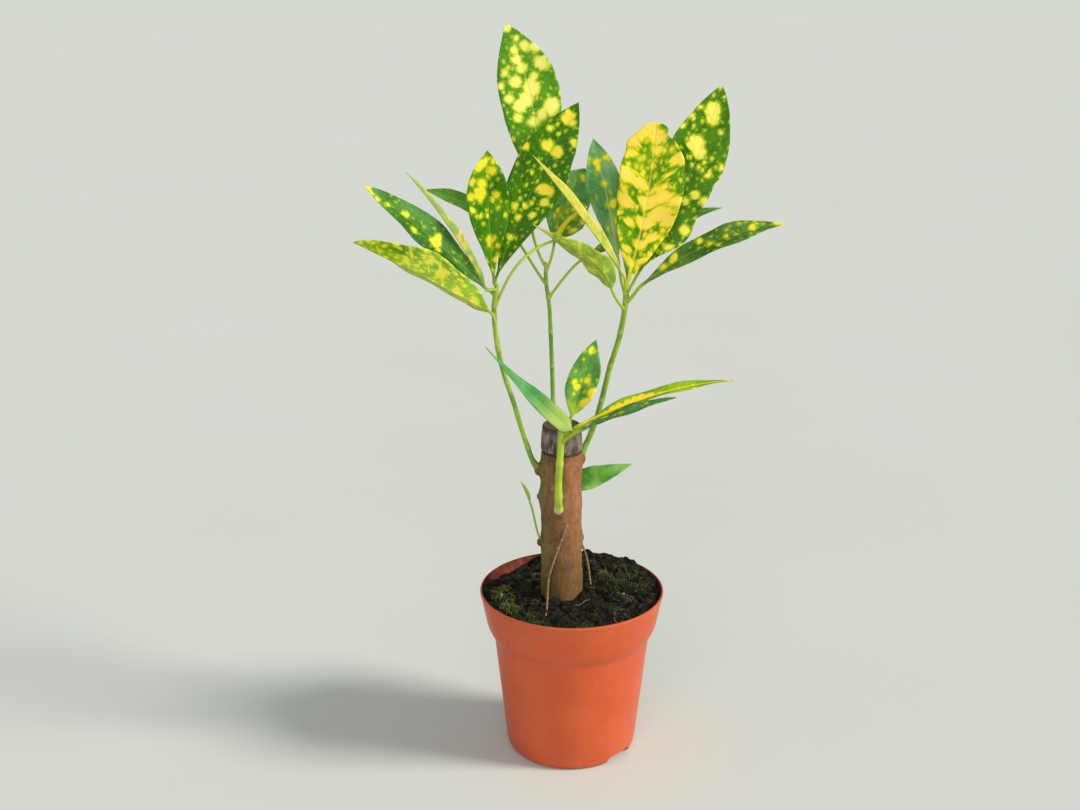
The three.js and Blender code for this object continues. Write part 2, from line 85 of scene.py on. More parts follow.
SHOOT_CLOSE = 0.96
SHOOT_TIP = 0.44
PETIOLE_RADIUS = 1.1
PETIOLE_HANDLE = 0.4
PETIOLE_LEAVE = 5
PETIOLE_ARRIVE = 8
BLADE_OPENING = 0.15
BLADE_FULLNESS = 0.9
RIB_TAPER = 0.6
EDGE_WAVES = 15
EDGE_SHIFT = 1.3

# Waves that make a surface uneven: how fast each runs both ways, where it starts, and its height.
SOIL_WAVES = [(0.31, 0.27, 0.8, 0.45), (0.31, -0.27, 1.6, 0.45), (0.53, -0.44, 2, 0.54),
              (0.17, 0.61, 1.57, 0.45)]
TRUNK_WAVES = [(0, 21, 0, 0.02), (0, 9, 1, 0.02), (3, 5, 0, 0.025), (5, -11, 0, 0.015)]

AERIAL_ROOTS = [
    [(-2, -9, 166), (-5, -12.4, 157), (-10, -13.4, 143), (-15, -13, 125), (-16, -16, 111),
     (-16.5, -23, 107.5), (-17, -29, 106), (-17, -35, 100)],
    [(2, 6, 150), (9, 9.5, 133), (12, 11, 115), (13, 12, 100), (13, 13, 92)],
]
BUDS = [(6, 1, 148), (-21, 2, 176), (-14, -12, 186)]

# The line of each shoot, and its radius at its foot and near its tip.
SHOOTS = {
    "left": ([(-19, -1, 194), (-25, -3, 202), (-30, -3, 216), (-38, -4, 244), (-44, -5, 264),
              (-47, -6, 279), (-49, -6, 296), (-49, -6, 307), (-47, -6, 320)], (1.8, 1.8)),
    "centre": ([(-9, 12, 192), (-10, 20, 203), (-12, 25, 227), (-13, 27, 254), (-14, 28, 280),
                (-15, 28, 297), (-17, 28, 313), (-17, 28, 325)], (1.8, 1.4)),
    "right": ([(3, 1, 201), (8, 1, 211), (12.5, 1, 222), (17.5, 1, 239), (23, 2, 263),
               (29, 2, 284), (32, 2, 302), (33, 2, 315)], (2.0, 2.0)),
    "front": ([(-9, -7, 169), (-9, -13.5, 174), (-9, -17.6, 183), (-9, -19, 197),
               (-8, -21, 215), (-7, -21, 232)], (2.9, 2.4)),
}

# ---- The leaves ----

# A leaf's form: how far below its shoot's end it grows (or its bud), the two ends of its blade's
# midrib with their bend, its width, the direction `up` from the blade, and what sets it apart from
# the plain form. A dent is a side, a place along the blade, a reach, and how much wider it makes
# that side. A leaf's look: its colours, and how much of each mark it has. A blotch is a large
# yellow mark: its place along the blade from the base (0) to the tip (100), its place across it
# from the middle (0) to the edges (-100 and 100), and its radius.
PLAIN_LEAF = dict(
    bend=(0, 0, 0), curl=(0, 0, 0), widest=0.5, fold=10, twist=0, wave=1, blunt=0, stalk=0.8,
    dents=[], slot="leaf",
    dark=0x2A6404, light=0x4E8C12, spot=0xF0DE36, core=0xFCCE42, halo=0x98B212, rib=0x96B432,
    underside=0x96B45C, foot=0xA0B634, ribbed=0.3, rib_width=1.0, under=0.6, under_to=2.0,
    dots=0.4, dot=1.1, streak=0.8, wash=0, drawn=1, ragged=4.5, cells=0.27, foot_to=0,
    blotches=[])
# The leaves of each shoot and of the trunk, numbered in this order.
LEAVES = {
    "left": [dict(
        below=40, base=(-52, -11, 304), tip=(-132, -32, 353), bend=(-2, -4, 3), width=33,
        widest=0.46, up=(0.1, 0.75, 0.65), fold=32, twist=-20, blunt=0.15,
        dark=0x387A06, light=0x82AC2C, spot=0xE0DC3E, core=0xECD442, wash=0.1, dots=0.8, dot=0.9,
        cells=0.42, streak=0.5, underside=0xB0C864, under=0.22, under_to=0.68,
        blotches=[(96, -45, 1.5), (87, -80, 1.5), (80, -70, 1.6), (73, -90, 1.5), (62, -30, 2.4),
        (38, -45, 3.5), (48, -65, 2.2), (24, -15, 2.8), (11, -10, 3)]
    ), dict(
        below=7, base=(-56, -3, 318), tip=(-128, 6, 379), bend=(1, 0, 2), width=24,
        up=(0.3, -0.5, 0.8), fold=12,
        dark=0x246216, light=0x488438, dots=0.18, dot=0.8,
        blotches=[(98, 0, 2.5), (94, -65, 2), (88, -80, 1.7), (80, -25, 1.5), (68, 5, 1.9),
        (57, -50, 2.2), (41, -10, 4), (42, 30, 2.4), (37, -50, 2)]
    ), dict(
        below=4, base=(-54, -10, 318), tip=(-101, -16, 392), bend=(2, 0, 2), width=8.5, widest=0.36,
        up=(0.8, 0.5, 0.4), fold=75, wave=0.5, blunt=0.3, slot="pale_leaf",
        dark=0x628C2E, light=0xACC062, spot=0xFCCC3C, core=0xFCC42C, wash=0.25, dots=0.35,
        streak=0.35, underside=0xB2C26C, under=0.45,
        blotches=[(33, 0, 3), (41, 0, 2.5), (24, 0, 2.5)]
    ), dict(
        below=5, base=(-48, 6, 321), tip=(3, 34, 425), bend=(-3, 0, 0), width=35, widest=0.6,
        up=(0, -1, 0.2), fold=12, wave=1.5,
        dark=0x205600, light=0x346E04, spot=0xE6D438, dots=0.26, dot=1.1, ribbed=0.2,
        blotches=[(91, -15, 4), (90, 40, 2), (82, -65, 1.7), (74, -27, 3.4), (73, 20, 3.2),
        (68, -95, 2.5), (81, 80, 2), (53, 35, 3.8), (53, 60, 2.7), (47, 60, 2.5), (39, -40, 2),
        (41, 0, 1.7), (34, -5, 1.5), (23, -5, 2), (58, -30, 1.1), (38, 45, 2)]
    ), dict(
        below=1, base=(-49, -5, 321), tip=(-53, 14, 399), bend=(-1, 0, 0), width=27, widest=0.63,
        up=(0, -1, 0.2), fold=12, wave=1.5,
        dark=0x2A6800, light=0x4C8A08, dots=0.5, dot=1.2, spot=0xECDA28, core=0xFACE28,
        blotches=[(89, -70, 3.4), (85, 30, 3), (76, -30, 2.8), (68, -40, 3.7), (76, -85, 2),
        (65, -85, 2), (66, 40, 2.2), (55, -80, 1.5), (32, 0, 2.6), (18, 90, 2.4), (94, -5, 1.7)]
    ), dict(
        below=14, via=(-40, 0, 338), base=(-11, 25, 340), tip=(8, 9, 365), bend=(-2, 0, 2),
        width=22, up=(0.3, 0.9, 0.3), fold=18, blunt=0.3,
        dark=0x2A5E0A, light=0x6C982A, rib=0xECD424, ribbed=0.95, rib_width=2.8, underside=0x8CAE46,
        under=0.2,
        blotches=[(4, 0, 3), (34, -70, 2), (64, -80, 1.7)]
    )],
    "centre": [dict(
        below=2, base=(-26, 32, 353), tip=(-42, 50, 471), bend=(10, 0, 0), width=38.5, widest=0.62,
        up=(0, -1, 0.2), fold=4, wave=1.5,
        dark=0x3A7C10, light=0x5A961C, spot=0xF6EC68, core=0xFCF080, halo=0xBACE3C, rib=0xE2DA5A,
        ribbed=0.5, dots=0.3, dot=1.2,
        blotches=[(98, 0, 2), (92, 30, 1.5), (87, 50, 3), (85, 85, 2.5), (87, -10, 2.3),
        (77, 70, 4), (82, -15, 3), (78, -5, 3), (78, -70, 2), (72, -90, 2.5), (72, -35, 3.5),
        (72, 30, 2), (67, 10, 5), (62, -15, 4.5), (59, -40, 4), (64, -70, 2.7), (56, 65, 5),
        (53, 30, 3), (50, -5, 3), (53, -55, 2.7)]
    ), dict(
        below=13, base=(-40, 32, 344), tip=(-94, 44, 368), bend=(0, 0, 4), width=14,
        up=(0.2, -0.5, 0.8), wave=0.5,
        dark=0x427C28, light=0x68A042, dots=0
    ), dict(
        below=5, base=(-12, 35, 334), tip=(8, 52, 380), bend=(-3, 2, 0), width=30, widest=0.6,
        up=(0, -1, 0.3), fold=8,
        dark=0x3E7A36, light=0x70A664, dots=0.25, ribbed=0.15,
        blotches=[(90, 30, 1.8), (60, 20, 2.2), (50, 50, 1.8)]
    ), dict(
        below=23, base=(6, 34, 325), tip=(96, 58, 353), bend=(0, 0, 4), width=24, up=(0, -0.2, 1),
        dark=0x346C28, light=0x54903C, dots=0.2
    )],
    "right": [dict(
        below=4, base=(30, -4, 326), tip=(-25, -30, 405), bend=(0, 0, 1), width=11.5, widest=0.45,
        up=(0.7, 0.6, 0.4), fold=72, wave=0.5, slot="pale_leaf",
        dark=0x70942C, light=0xA6B642, spot=0xDCCE50, core=0xE8D460, halo=0xBEC246, wash=0.4,
        streak=0.5, dots=0.75, dot=0.85, cells=0.5, underside=0xC6C45C, under=0.4
    ), dict(
        below=3, base=(28, 8, 330), tip=(12, 26, 404), bend=(1, 0, 0), width=23, widest=0.6,
        up=(0, -1, 0.2), fold=14,
        # Its pale blue-green light tone is a painted sheen, in patches over the dark green.
        dark=0x42843E, light=0x92C08A, dots=0.35, streak=0.5, rib=0xBECE6E, ribbed=0.7,
        blotches=[(82, -15, 2.3), (77, -15, 2.3), (83, 70, 1.7), (64, 5, 1.5), (47, 40, 3),
        (34, 45, 2.3)]
    ), dict(
        below=0, base=(33, 1, 319), tip=(50, 16, 416), bend=(3, 0, 0), width=43, widest=0.57,
        up=(0, -1, 0.2), fold=4, wave=2, blunt=0.45, stalk=1.2, slot="pale_leaf",
        dents=[(-1, 0.87, 0.05, 0.16), (-1, 0.5, 0.25, -0.14), (1, 0.93, 0.03, -0.3),
        (1, 0.8, 0.05, 0.08)],
        dark=0x3A7800, light=0x629808, spot=0xF6D83E, core=0xFAD85C, halo=0xBAC014, dots=0.62,
        dot=1.2, wash=0.15, drawn=1.22, ragged=6.5, streak=0.7, rib=0xF6CC50, ribbed=0.6,
        rib_width=1.2,
        blotches=[(97, -50, 4.5), (93, -70, 5), (87, -80, 4.5), (91, 10, 5), (83, 12, 2.6),
        (80, -75, 2.6), (79, 82, 4.4), (66, -75, 5.5), (62, -35, 5), (55, 45, 4.4), (54, 85, 3.6),
        (50, 5, 5), (50, -75, 5), (45, 45, 6), (42, 85, 4), (38, 10, 5), (37, -50, 3),
        (30, 50, 3.4), (24, 10, 3.4), (20, -60, 2.6), (12, -20, 2.6)]
    ), dict(
        below=2, base=(41, 9, 324), tip=(92, 42, 434), bend=(3, 0, -3), width=37, widest=0.6,
        up=(0, -1, 0.3), fold=5, wave=1.5, blunt=0.1, dents=[(1, 0.2, 0.12, 0.75),
        (1, 0.55, 0.03, -0.09)],
        dark=0x245C00, light=0x447C08, spot=0xF0E250, core=0xFCE86A, dots=0.42, dot=1.1, ribbed=0.2,
        blotches=[(88, -5, 4.8), (84, 10, 3.8), (70, -20, 5.2), (67, 0, 4.4), (82, -95, 2),
        (87, -85, 1.5), (76, -95, 1.7), (79, 60, 1.5), (58, 60, 1.7), (47, 50, 2.7), (46, 90, 2),
        (42, 30, 2), (29, 75, 3), (18, 70, 2.3), (64, 90, 1.5)]
    ), dict(
        below=8, base=(43, -2, 319), tip=(129, -6, 358), bend=(0, 0, 7.5), width=18,
        up=(0, -0.5, 0.8), fold=14, stalk=1,
        # Its greyish light tone is partly the leaf's own mottling and partly a painted sheen.
        dark=0x2C5E12, light=0x5C8642, dots=0.3, dot=0.9,
        blotches=[(99, 0, 4), (42, -60, 1.5), (47, 0, 1.7), (52, 50, 1.5), (58, -10, 1.3),
        (77, -25, 2.4), (94, -55, 2), (23, -50, 2.4), (15, -45, 2)]
    ), dict(
        below=13, base=(23, -7, 318), tip=(-11, -22, 350), bend=(5, 0, 3), width=17, widest=0.4,
        up=(-0.2, 0.7, 0.7), fold=16, twist=10, wave=1.6, curl=(-14, -2, 12),
        dark=0x56841A, light=0x8EAE3E, wash=0.3, streak=0.45, dots=0.6, dot=0.9, cells=0.42,
        underside=0x9CB65C, under=0.25, spot=0xD0CC32, core=0xD8CC3C,
        blotches=[(95, 0, 3.5), (66, 10, 1.8), (49, -5, 2), (27, -20, 1.6)]
    )],
    "front": [dict(
        below=2, base=(-2, -28, 233), tip=(-54, -24, 285), bend=(-1, -3, 0), width=13, widest=0.22,
        up=(0.3, -0.6, 0.7), fold=12, twist=30, wave=0.5, blunt=-0.4, stalk=1,
        dark=0x266E32, light=0x4E9254, dots=-0.3, ribbed=0.2, foot=0x92AC52, foot_to=0.42
    ), dict(
        below=1.5, base=(-1, -19, 239), tip=(14, -8, 285), width=21, widest=0.45, up=(0, -1, 0.2),
        fold=20, stalk=1,
        dark=0x367A30, light=0x70A656, dots=0.4, foot_to=0.25,
        blotches=[(86, -5, 2.4), (42, -50, 1.8), (36, -25, 2), (47, 30, 2.2), (36, 90, 3.3),
        (20, 80, 3.3)]
    ), dict(
        below=5, base=(5, -23, 234), tip=(99, -16, 261), bend=(0, 0, 5.5), width=11.5, widest=0.42,
        up=(0, -0.28, 1), fold=15, stalk=1.4,
        dark=0x609614, light=0x92B828, spot=0xFADE32, core=0xFCCC2C, dots=0.3, rib=0xFCD62C,
        ribbed=0.95, rib_width=1.6, ragged=3.2,
        blotches=[(16, -10, 1.6), (21, -20, 2.1), (26, -10, 2.4), (31, -15, 2.9), (36, -10, 3.1),
        (41, -20, 2.7), (46, -10, 2.2), (52, 0, 1.4), (97, 0, 1.3)]
    ), dict(
        below=9, base=(5, -31, 234), tip=(62, -40, 258), bend=(0, 0, 1.5), width=14,
        up=(0, -0.1, 1), wave=0.5, stalk=1.2,
        dark=0x2C6A38, light=0x589254, dots=0.1, dot=0.7, rib=0x8CB064,
        blotches=[(43, -15, 1.2), (69, -40, 1), (26, -55, 1)]
    )],
    "trunk": [dict(
        bud=(-4, 15, 167), base=(-2, 23, 176), tip=(39, 14, 194), bend=(0, 0, -1), width=16,
        widest=0.3, up=(0, -0.7, 0.7), wave=0.5,
        dark=0x429C2C, light=0x9CDA6E, dots=-0.3
    ), dict(
        bud=(-21, 0, 145), base=(-27, -3, 173), tip=(-33, -5, 189), width=5, up=(0.9, 0.3, 0.3),
        fold=50, wave=0, stalk=0.6,
        dark=0x78AA28, light=0xA0C33C, dots=0
    )],
}


# ---- Helpers ----

NOISE_STEP = (17.3, 5.1, 3.7)  # how far the noise of one seed lies from that of the next
CURVE_PROBE = 0.2
TUBE_SIDE = np.array([0.31, 0.9, 0.3])  # a direction that no tube runs along


def unit(vectors):
    return vectors / np.linalg.norm(vectors, axis=-1, keepdims=True)


def smooth(value, low, high):
    share = np.clip((value - low) / (high - low), 0, 1)
    return share * share * (3 - 2 * share)


def mixed(low, high, share):
    return low + (high - low) * share


def bell(distance, reach):
    return np.exp(-(distance / reach) ** 2)


def unevenness(waves, first, second):
    """The sum of a table of waves at one place."""
    return sum(height * np.sin(a * first + b * second + start) for a, b, start, height in waves)


def rough(points, size, seed):
    """Smooth noise, about -1 to 1, at each point; `size` is the length of one bump."""
    shift = Vector([seed * step for step in NOISE_STEP])
    flat = np.reshape(points, (-1, 3)) / size
    values = [noise.noise(Vector(point) + shift) for point in flat]
    return np.reshape(values, np.shape(points)[:-1])


def catmull(points, per_span=40):
    """Centripetal Catmull-Rom curve through the points, and its length up to each step."""
    p = np.array(points, float)
    p = np.vstack([2 * p[0] - p[1], p, 2 * p[-1] - p[-2]])
    spans = []
    for i in range(1, len(p) - 2):
        x0, x1, x2, x3 = p[i - 1:i + 3]
        d0, d1, d2 = [np.linalg.norm(b - a) ** 0.5 for a, b in ((x0, x1), (x1, x2), (x2, x3))]
        t1 = ((x1 - x0) / d0 - (x2 - x0) / (d0 + d1) + (x2 - x1) / d1) * d1
        t2 = ((x2 - x1) / d1 - (x3 - x1) / (d1 + d2) + (x3 - x2) / d2) * d1
        t = np.linspace(0, 1, per_span, endpoint=False)[:, None]
        spans.append(x1 + t1 * t + (-3 * x1 + 3 * x2 - 2 * t1 - t2) * t ** 2
                     + (2 * x1 - 2 * x2 + t1 + t2) * t ** 3)
    line = np.vstack(spans + [p[-2][None]])
    return line, lengths_along(line)


def lengths_along(line):
    steps = np.linalg.norm(np.diff(line, axis=0), axis=1)
    return np.concatenate([[0], np.cumsum(steps)])


def along_curve(curve, length):
    line, reach = curve
    return np.stack([np.interp(length, reach, line[:, axis]) for axis in range(3)], axis=-1)


def direction_at(curve, length):
    ahead = np.minimum(length + CURVE_PROBE, curve[1][-1])
    behind = np.maximum(length - CURVE_PROBE, 0)
    return unit(along_curve(curve, ahead) - along_curve(curve, behind))


def cross_axes(along, up):
    """Two directions across a line: `up` made square to it, and the side to its right."""
    normal = unit(up - (up * along).sum(-1, keepdims=True) * along)
    return normal, np.cross(along, normal)


def circle(sides):
    """Angles once round."""
    return 2 * np.pi * np.arange(sides) / sides


def ring(radius, z, angles, middle=(0, 0)):
    """The points of a level ring round a middle."""
    x, y = middle[0] + radius * np.cos(angles), middle[1] + radius * np.sin(angles)
    return np.stack([x, y, z + 0 * angles], axis=-1)


def loft(rings, values=None):
    """A closed skin over the rings (count, per ring, 3), with `values` at the same points."""
    count, sides = rings.shape[:2]
    last = (count - 1) * sides
    foot, top = count * sides, count * sides + 1
    faces = []
    for start in range(0, last, sides):
        for side in range(sides):
            a, b = start + side, start + (side + 1) % sides
            faces.append((a, b, b + sides, a + sides))
    for side in range(sides):
        after = (side + 1) % sides
        faces += [(foot, after, side), (top, last + side, last + after)]

    def with_ends(array):
        return np.vstack([array.reshape(-1, 3), array[0].mean(0), array[-1].mean(0)])

    attributes = {name: with_ends(array) for name, array in (values or {}).items()}
    return with_ends(rings), faces, attributes


def tube(points, radius_at, sides, step, wobble=0.0, seed=0):
    """Rings round a curve, with a radius from its length so far, and the length at each point."""
    curve = catmull(points)
    total = curve[1][-1]
    lengths = np.linspace(0, total, max(4, int(total / step)))
    normal, side = cross_axes(direction_at(curve, lengths), TUBE_SIDE)
    angles = -circle(sides)[:, None]
    spokes = side[:, None] * np.cos(angles) + normal[:, None] * np.sin(angles)
    radii = radius_at(lengths) + 0 * lengths
    rings = along_curve(curve, lengths)[:, None] + spokes * radii[:, None, None]
    if wobble:
        rings = rings + spokes * (wobble * rough(rings, 3, seed))[..., None]
    return rings, np.repeat(lengths[:, None], sides, axis=1)


def strand(*settings):
    """A closed tube's points and faces."""
    return loft(tube(*settings)[0])[:2]


def join_parts(parts):
    points, faces, start = [], [], 0
    for part_points, part_faces in parts:
        points.append(part_points)
        faces.extend([[start + index for index in face] for face in part_faces])
        start += len(part_points)
    return np.vstack(points), faces


def link_mesh(name, points, faces):
    mesh = bpy.data.meshes.new(name)
    mesh.from_pydata(np.asarray(points).tolist(), [], faces)
    mesh.update()
    piece = bpy.data.objects.new(name, mesh)
    bpy.context.scene.collection.objects.link(piece)
    return piece


def declare(piece, material, replaces=None):
    piece.data.materials.append(material)
    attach(piece, "root")
    if replaces:
        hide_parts(replaces)


def make_object(name, skin, material, replaces=None, soft=True):
    """A piece from points, faces and attributes; `soft` shades it smoothly."""
    points, faces, *attributes = skin
    piece = link_mesh(name, np.asarray(points) * MM, faces)
    if soft:
        piece.data.shade_smooth()
    for key, array in (attributes[0] if attributes else {}).items():
        layer = piece.data.attributes.new(key, "FLOAT_VECTOR", "POINT")
        layer.data.foreach_set("vector", np.asarray(array, np.float32).ravel())
    declare(piece, material, replaces)


def colour(code):
    """A colour given in sRGB as 0xRRGGBB, as the shader wants it."""
    linear = []
    for value in code.to_bytes(3, "big"):
        share = value / 255
        linear.append(share / 12.92 if share <= 0.04045 else ((share + 0.055) / 1.055) ** 2.4)
    return (*linear, 1)


class Shader:
    """A short way to write a material: each call adds a node and returns its output."""

    def __init__(self, name):
        self.material = bpy.data.materials.new(name)
        self.material.use_nodes = True
        self.tree = self.material.node_tree
        self.surface = self.tree.nodes["Principled BSDF"]

    def put(self, socket, value):
        if isinstance(value, bpy.types.NodeSocket):
            self.tree.links.new(value, socket)
        else:
            socket.default_value = value

    def node(self, kind, inputs=None, **settings):
        made = self.tree.nodes.new("ShaderNode" + kind)
        for key, value in settings.items():
            setattr(made, key, value)
        for key, value in (inputs or {}).items():
            self.put(made.inputs[key], value)
        return made

    def attribute(self, name):
        """The three numbers of a mesh attribute."""
        return self.split(self.node("Attribute", attribute_name=name).outputs["Vector"])

    def position(self):
        """The place on the object in millimetres."""
        return self.scaled(self.node("TexCoord").outputs["Object"], (1 / MM,) * 3)

    def vector(self, operation, first, second):
        return self.node("VectorMath", {0: first, 1: second}, operation=operation).outputs[0]

    def scaled(self, vector, factors):
        return self.vector("MULTIPLY", vector, factors)

    def split(self, vector):
        return self.node("SeparateXYZ", {0: vector}).outputs

    def join(self, x, y, z=0.0):
        return self.node("CombineXYZ", {0: x, 1: y, 2: z}).outputs[0]

    def length(self, x, y):
        place = self.join(x, y)
        return self.node("VectorMath", {0: place}, operation="LENGTH").outputs["Value"]

    def math(self, operation, *values):
        return self.node("Math", dict(enumerate(values)), operation=operation).outputs[0]

    def plus(self, first, second):
        return self.math("ADD", first, second)

    def minus(self, first, second):
        return self.math("SUBTRACT", first, second)

    def times(self, first, second):
        return self.math("MULTIPLY", first, second)

    def larger(self, first, second):
        return self.math("MAXIMUM", first, second)

    def remap(self, value, low, high, to_low=0.0, to_high=1.0):
        inputs = {0: value, 1: low, 2: high, 3: to_low, 4: to_high}
        return self.node("MapRange", inputs, interpolation_type="SMOOTHSTEP").outputs[0]

    def mix(self, share, first, second):
        """Each colour is a socket, or a number as colour() takes it."""
        made = self.node("Mix", {0: share}, data_type="RGBA")
        for key, tone in ((6, first), (7, second)):
            self.put(made.inputs[key], colour(tone) if isinstance(tone, int) else tone)
        return made.outputs[2]

    def fade(self, first, second, value, low, high, share=1.0):
        """From the first colour to a share of the second, as the value goes from low to high."""
        return self.mix(self.remap(value, low, high, 0.0, share), first, second)

    def noise(self, vector, size, detail=2.0, output="Fac"):
        inputs = {"Vector": vector, "Scale": 1 / size, "Detail": detail}
        return self.node("TexNoise", inputs).outputs[output]

    def finish(self, base, roughness, height=None, depth=0.2, **constants):
        """`depth` is how deep the bumps of `height` look, in millimetres."""
        self.put(self.surface.inputs["Base Color"], base)
        self.put(self.surface.inputs["Roughness"], roughness)
        if height is not None:
            bump = self.node("Bump", {"Height": height, "Distance": depth * MM, "Strength": 1.0})
            self.put(self.surface.inputs["Normal"], bump.outputs[0])
        for key, value in constants.items():
            self.surface.inputs[key.replace("_", " ")].default_value = value
        return self.material


def speckled(name, low, high, size, roughness=0.85, **constants):
    """A material of two tones in specks of one size."""
    s = Shader(name)
    speck = s.noise(s.position(), size, 4)
    base = s.fade(low, high, speck, 0.35, 0.65)
    return s.finish(base, roughness, speck, 0.3, **constants)


# ---- Leaves ----

VEIN_GAP = 5.0  # between two side veins, along the midrib
VEIN_SLANT = 0.75
VEIN_DEPTH = 0.08
BLADE_HALF = 0.26  # half the blade's thickness inside, and at its edge
EDGE_HALF = 0.12
GROOVE_DEPTH = 0.12  # along the midrib, on the upper side
RIB_HEIGHT = 0.75  # of the midrib below the blade, as a share of its radius
FOOT_SWELL = 0.45  # of the petiole where it grows out
FOOT_REACH = 2.5
SEAM_SHARE = 0.02  # of its radius that keeps a petiole's two skins apart at its sides
FINE_STEP = 1.15  # distance between rings of a blade, and nearly that across it
PETIOLE_STEP = 1.2
PETIOLE_START = 0.5  # share of the shoot's radius, inside which a petiole begins
PETIOLE_LEAN = 0.8  # how far it leans along its shoot as it leaves
EVEN_SHARE = 0.4  # the lines of a blade lie closer at the midrib: the share of even spacing
TIP_CROWDING = 1.15  # the rings of a blade lie closer at its tip
CURL_POWER = 6
EDGE_NOISE = [(0.1, 0.24, 40), (0.03, 0.07, 9)]  # height and size of its bumps, and its place
OUTSIDE = -6.0  # reach of a point that is far from every blotch
SEED_SHIFT = 31.7


def shoot_radius(radii, place):
    closing = np.maximum(0, (place - SHOOT_CLOSE) / (1 - SHOOT_CLOSE))
    return mixed(radii[0], radii[1], place) * (1 + (SHOOT_TIP - 1) * closing)


def midrib(leaf, place):
    base, tip, bend, curl = [np.array(leaf[key], float) for key in ("base", "tip", "bend", "curl")]
    handle = (base + tip) / 2 + 2 * bend
    t = place[:, None]
    points = (1 - t) ** 2 * base + 2 * t * (1 - t) * handle + t ** 2 * tip + curl * t ** CURL_POWER
    slope = ((1 - t) * (handle - base) + t * (tip - handle)
             + CURL_POWER / 2 * curl * t ** (CURL_POWER - 1))
    return points, unit(slope)


def petiole(leaf):
    """The line of a leaf's petiole from its shoot or bud to its blade."""
    end, arrive = [value[0] for value in midrib(leaf, np.zeros(1))]
    if "bud" in leaf:
        bud = np.array(leaf["bud"], float)
        leave = unit(bud - np.array([*TRUNK_AXIS, bud[2]]))
        start = bud - SEAT_DEPTH * leave
    else:
        points, radii = SHOOTS[leaf["shoot"]]
        curve = catmull(points)
        length = curve[1][-1] - leaf["below"]
        root = along_curve(curve, length)
        grows = direction_at(curve, length)
        leave = cross_axes(grows, end - root)[0]
        start = root + leave * shoot_radius(radii, length / curve[1][-1]) * PETIOLE_START
        leave = unit(leave + PETIOLE_LEAN * grows)
    reach = np.linalg.norm(end - start)
    first = start + leave * min(reach * PETIOLE_HANDLE, PETIOLE_LEAVE)
    second = end - arrive * min(reach * PETIOLE_HANDLE, PETIOLE_ARRIVE)
    if "via" in leaf:
        second = np.array(leaf["via"], float)
    t = np.linspace(0, 1, max(8, int(reach / PETIOLE_STEP)), endpoint=False)[:, None]
    points = ((1 - t) ** 3 * start + 3 * t * (1 - t) ** 2 * first
              + 3 * t ** 2 * (1 - t) * second + t ** 3 * end)
    slope = ((1 - t) ** 2 * (first - start) + 2 * t * (1 - t) * (second - first)
             + t ** 2 * (end - second))
    return points, unit(slope)


def leaf_line(leaf):
    """At each ring of a leaf: its place in the blade, middle, direction and length so far."""
    stalk, stalk_along = petiole(leaf)
    steps = int(np.linalg.norm(np.subtract(leaf["tip"], leaf["base"])) / FINE_STEP)
    blade = 1 - (1 - np.linspace(0, 1, steps)) ** TIP_CROWDING
    points, along = midrib(leaf, blade)
    centre = np.vstack([stalk, points])
    passed = lengths_along(centre)
    place = np.concatenate([np.zeros(len(stalk)), blade])
    return place, centre, np.vstack([stalk_along, along]), passed - passed[len(stalk)]


def leaf_axes(leaf, place, along):
    """The directions up and sideways from the blade at each ring, with its twist."""
    normal, side = cross_axes(along, np.array(leaf["up"], float))
    turn = np.radians(leaf["twist"]) * (place - 0.5)[:, None]
    return cross_axes(along, normal * np.cos(turn) + side * np.sin(turn))


def outline(leaf, place):
    """Half the blade's width, as a share of its greatest."""
    swing = np.pi * place ** (math.log(0.5) / math.log(leaf["widest"]))
    return np.maximum(np.sin(swing), 0) ** (BLADE_FULLNESS - leaf["blunt"] * place)


def uneven_edge(leaf, place, a, opened, seed):
    """How much wider each side is than its outline, from raggedness and dents."""
    edge = np.stack([place, np.full_like(place, seed), place * 0], axis=-1)
    left, right = [sum(height * rough(edge + shift * k, size, seed)
                       for height, size, shift in EDGE_NOISE)[:, None] for k in (1, 2)]
    wider = 1 + opened * np.where(a < 0, left, right)
    for sign, at, reach, amount in leaf["dents"]:
        dent = amount * bell(place - at, reach)[:, None]
        wider = wider * np.where(a * sign > 0, 1 + dent, 1)
    return wider


def blotch_reach(leaf, place, across, length, half):
    """How far each point lies inside the nearest blotch; `drawn` above 1 stretches them."""
    drawn = leaf["drawn"]
    best = np.full(across.shape, OUTSIDE)
    slant = VEIN_SLANT * min(1, 2 * (drawn - 1))
    for spot_along, spot_across, radius in leaf["blotches"]:
        spot = spot_across / 100
        ahead = (place - spot_along / 100) * length - slant * (np.abs(across) - abs(spot)) * half
        away = np.hypot(ahead * drawn, (across - spot) * half / drawn)
        best = np.maximum(best, radius - away)
    return best


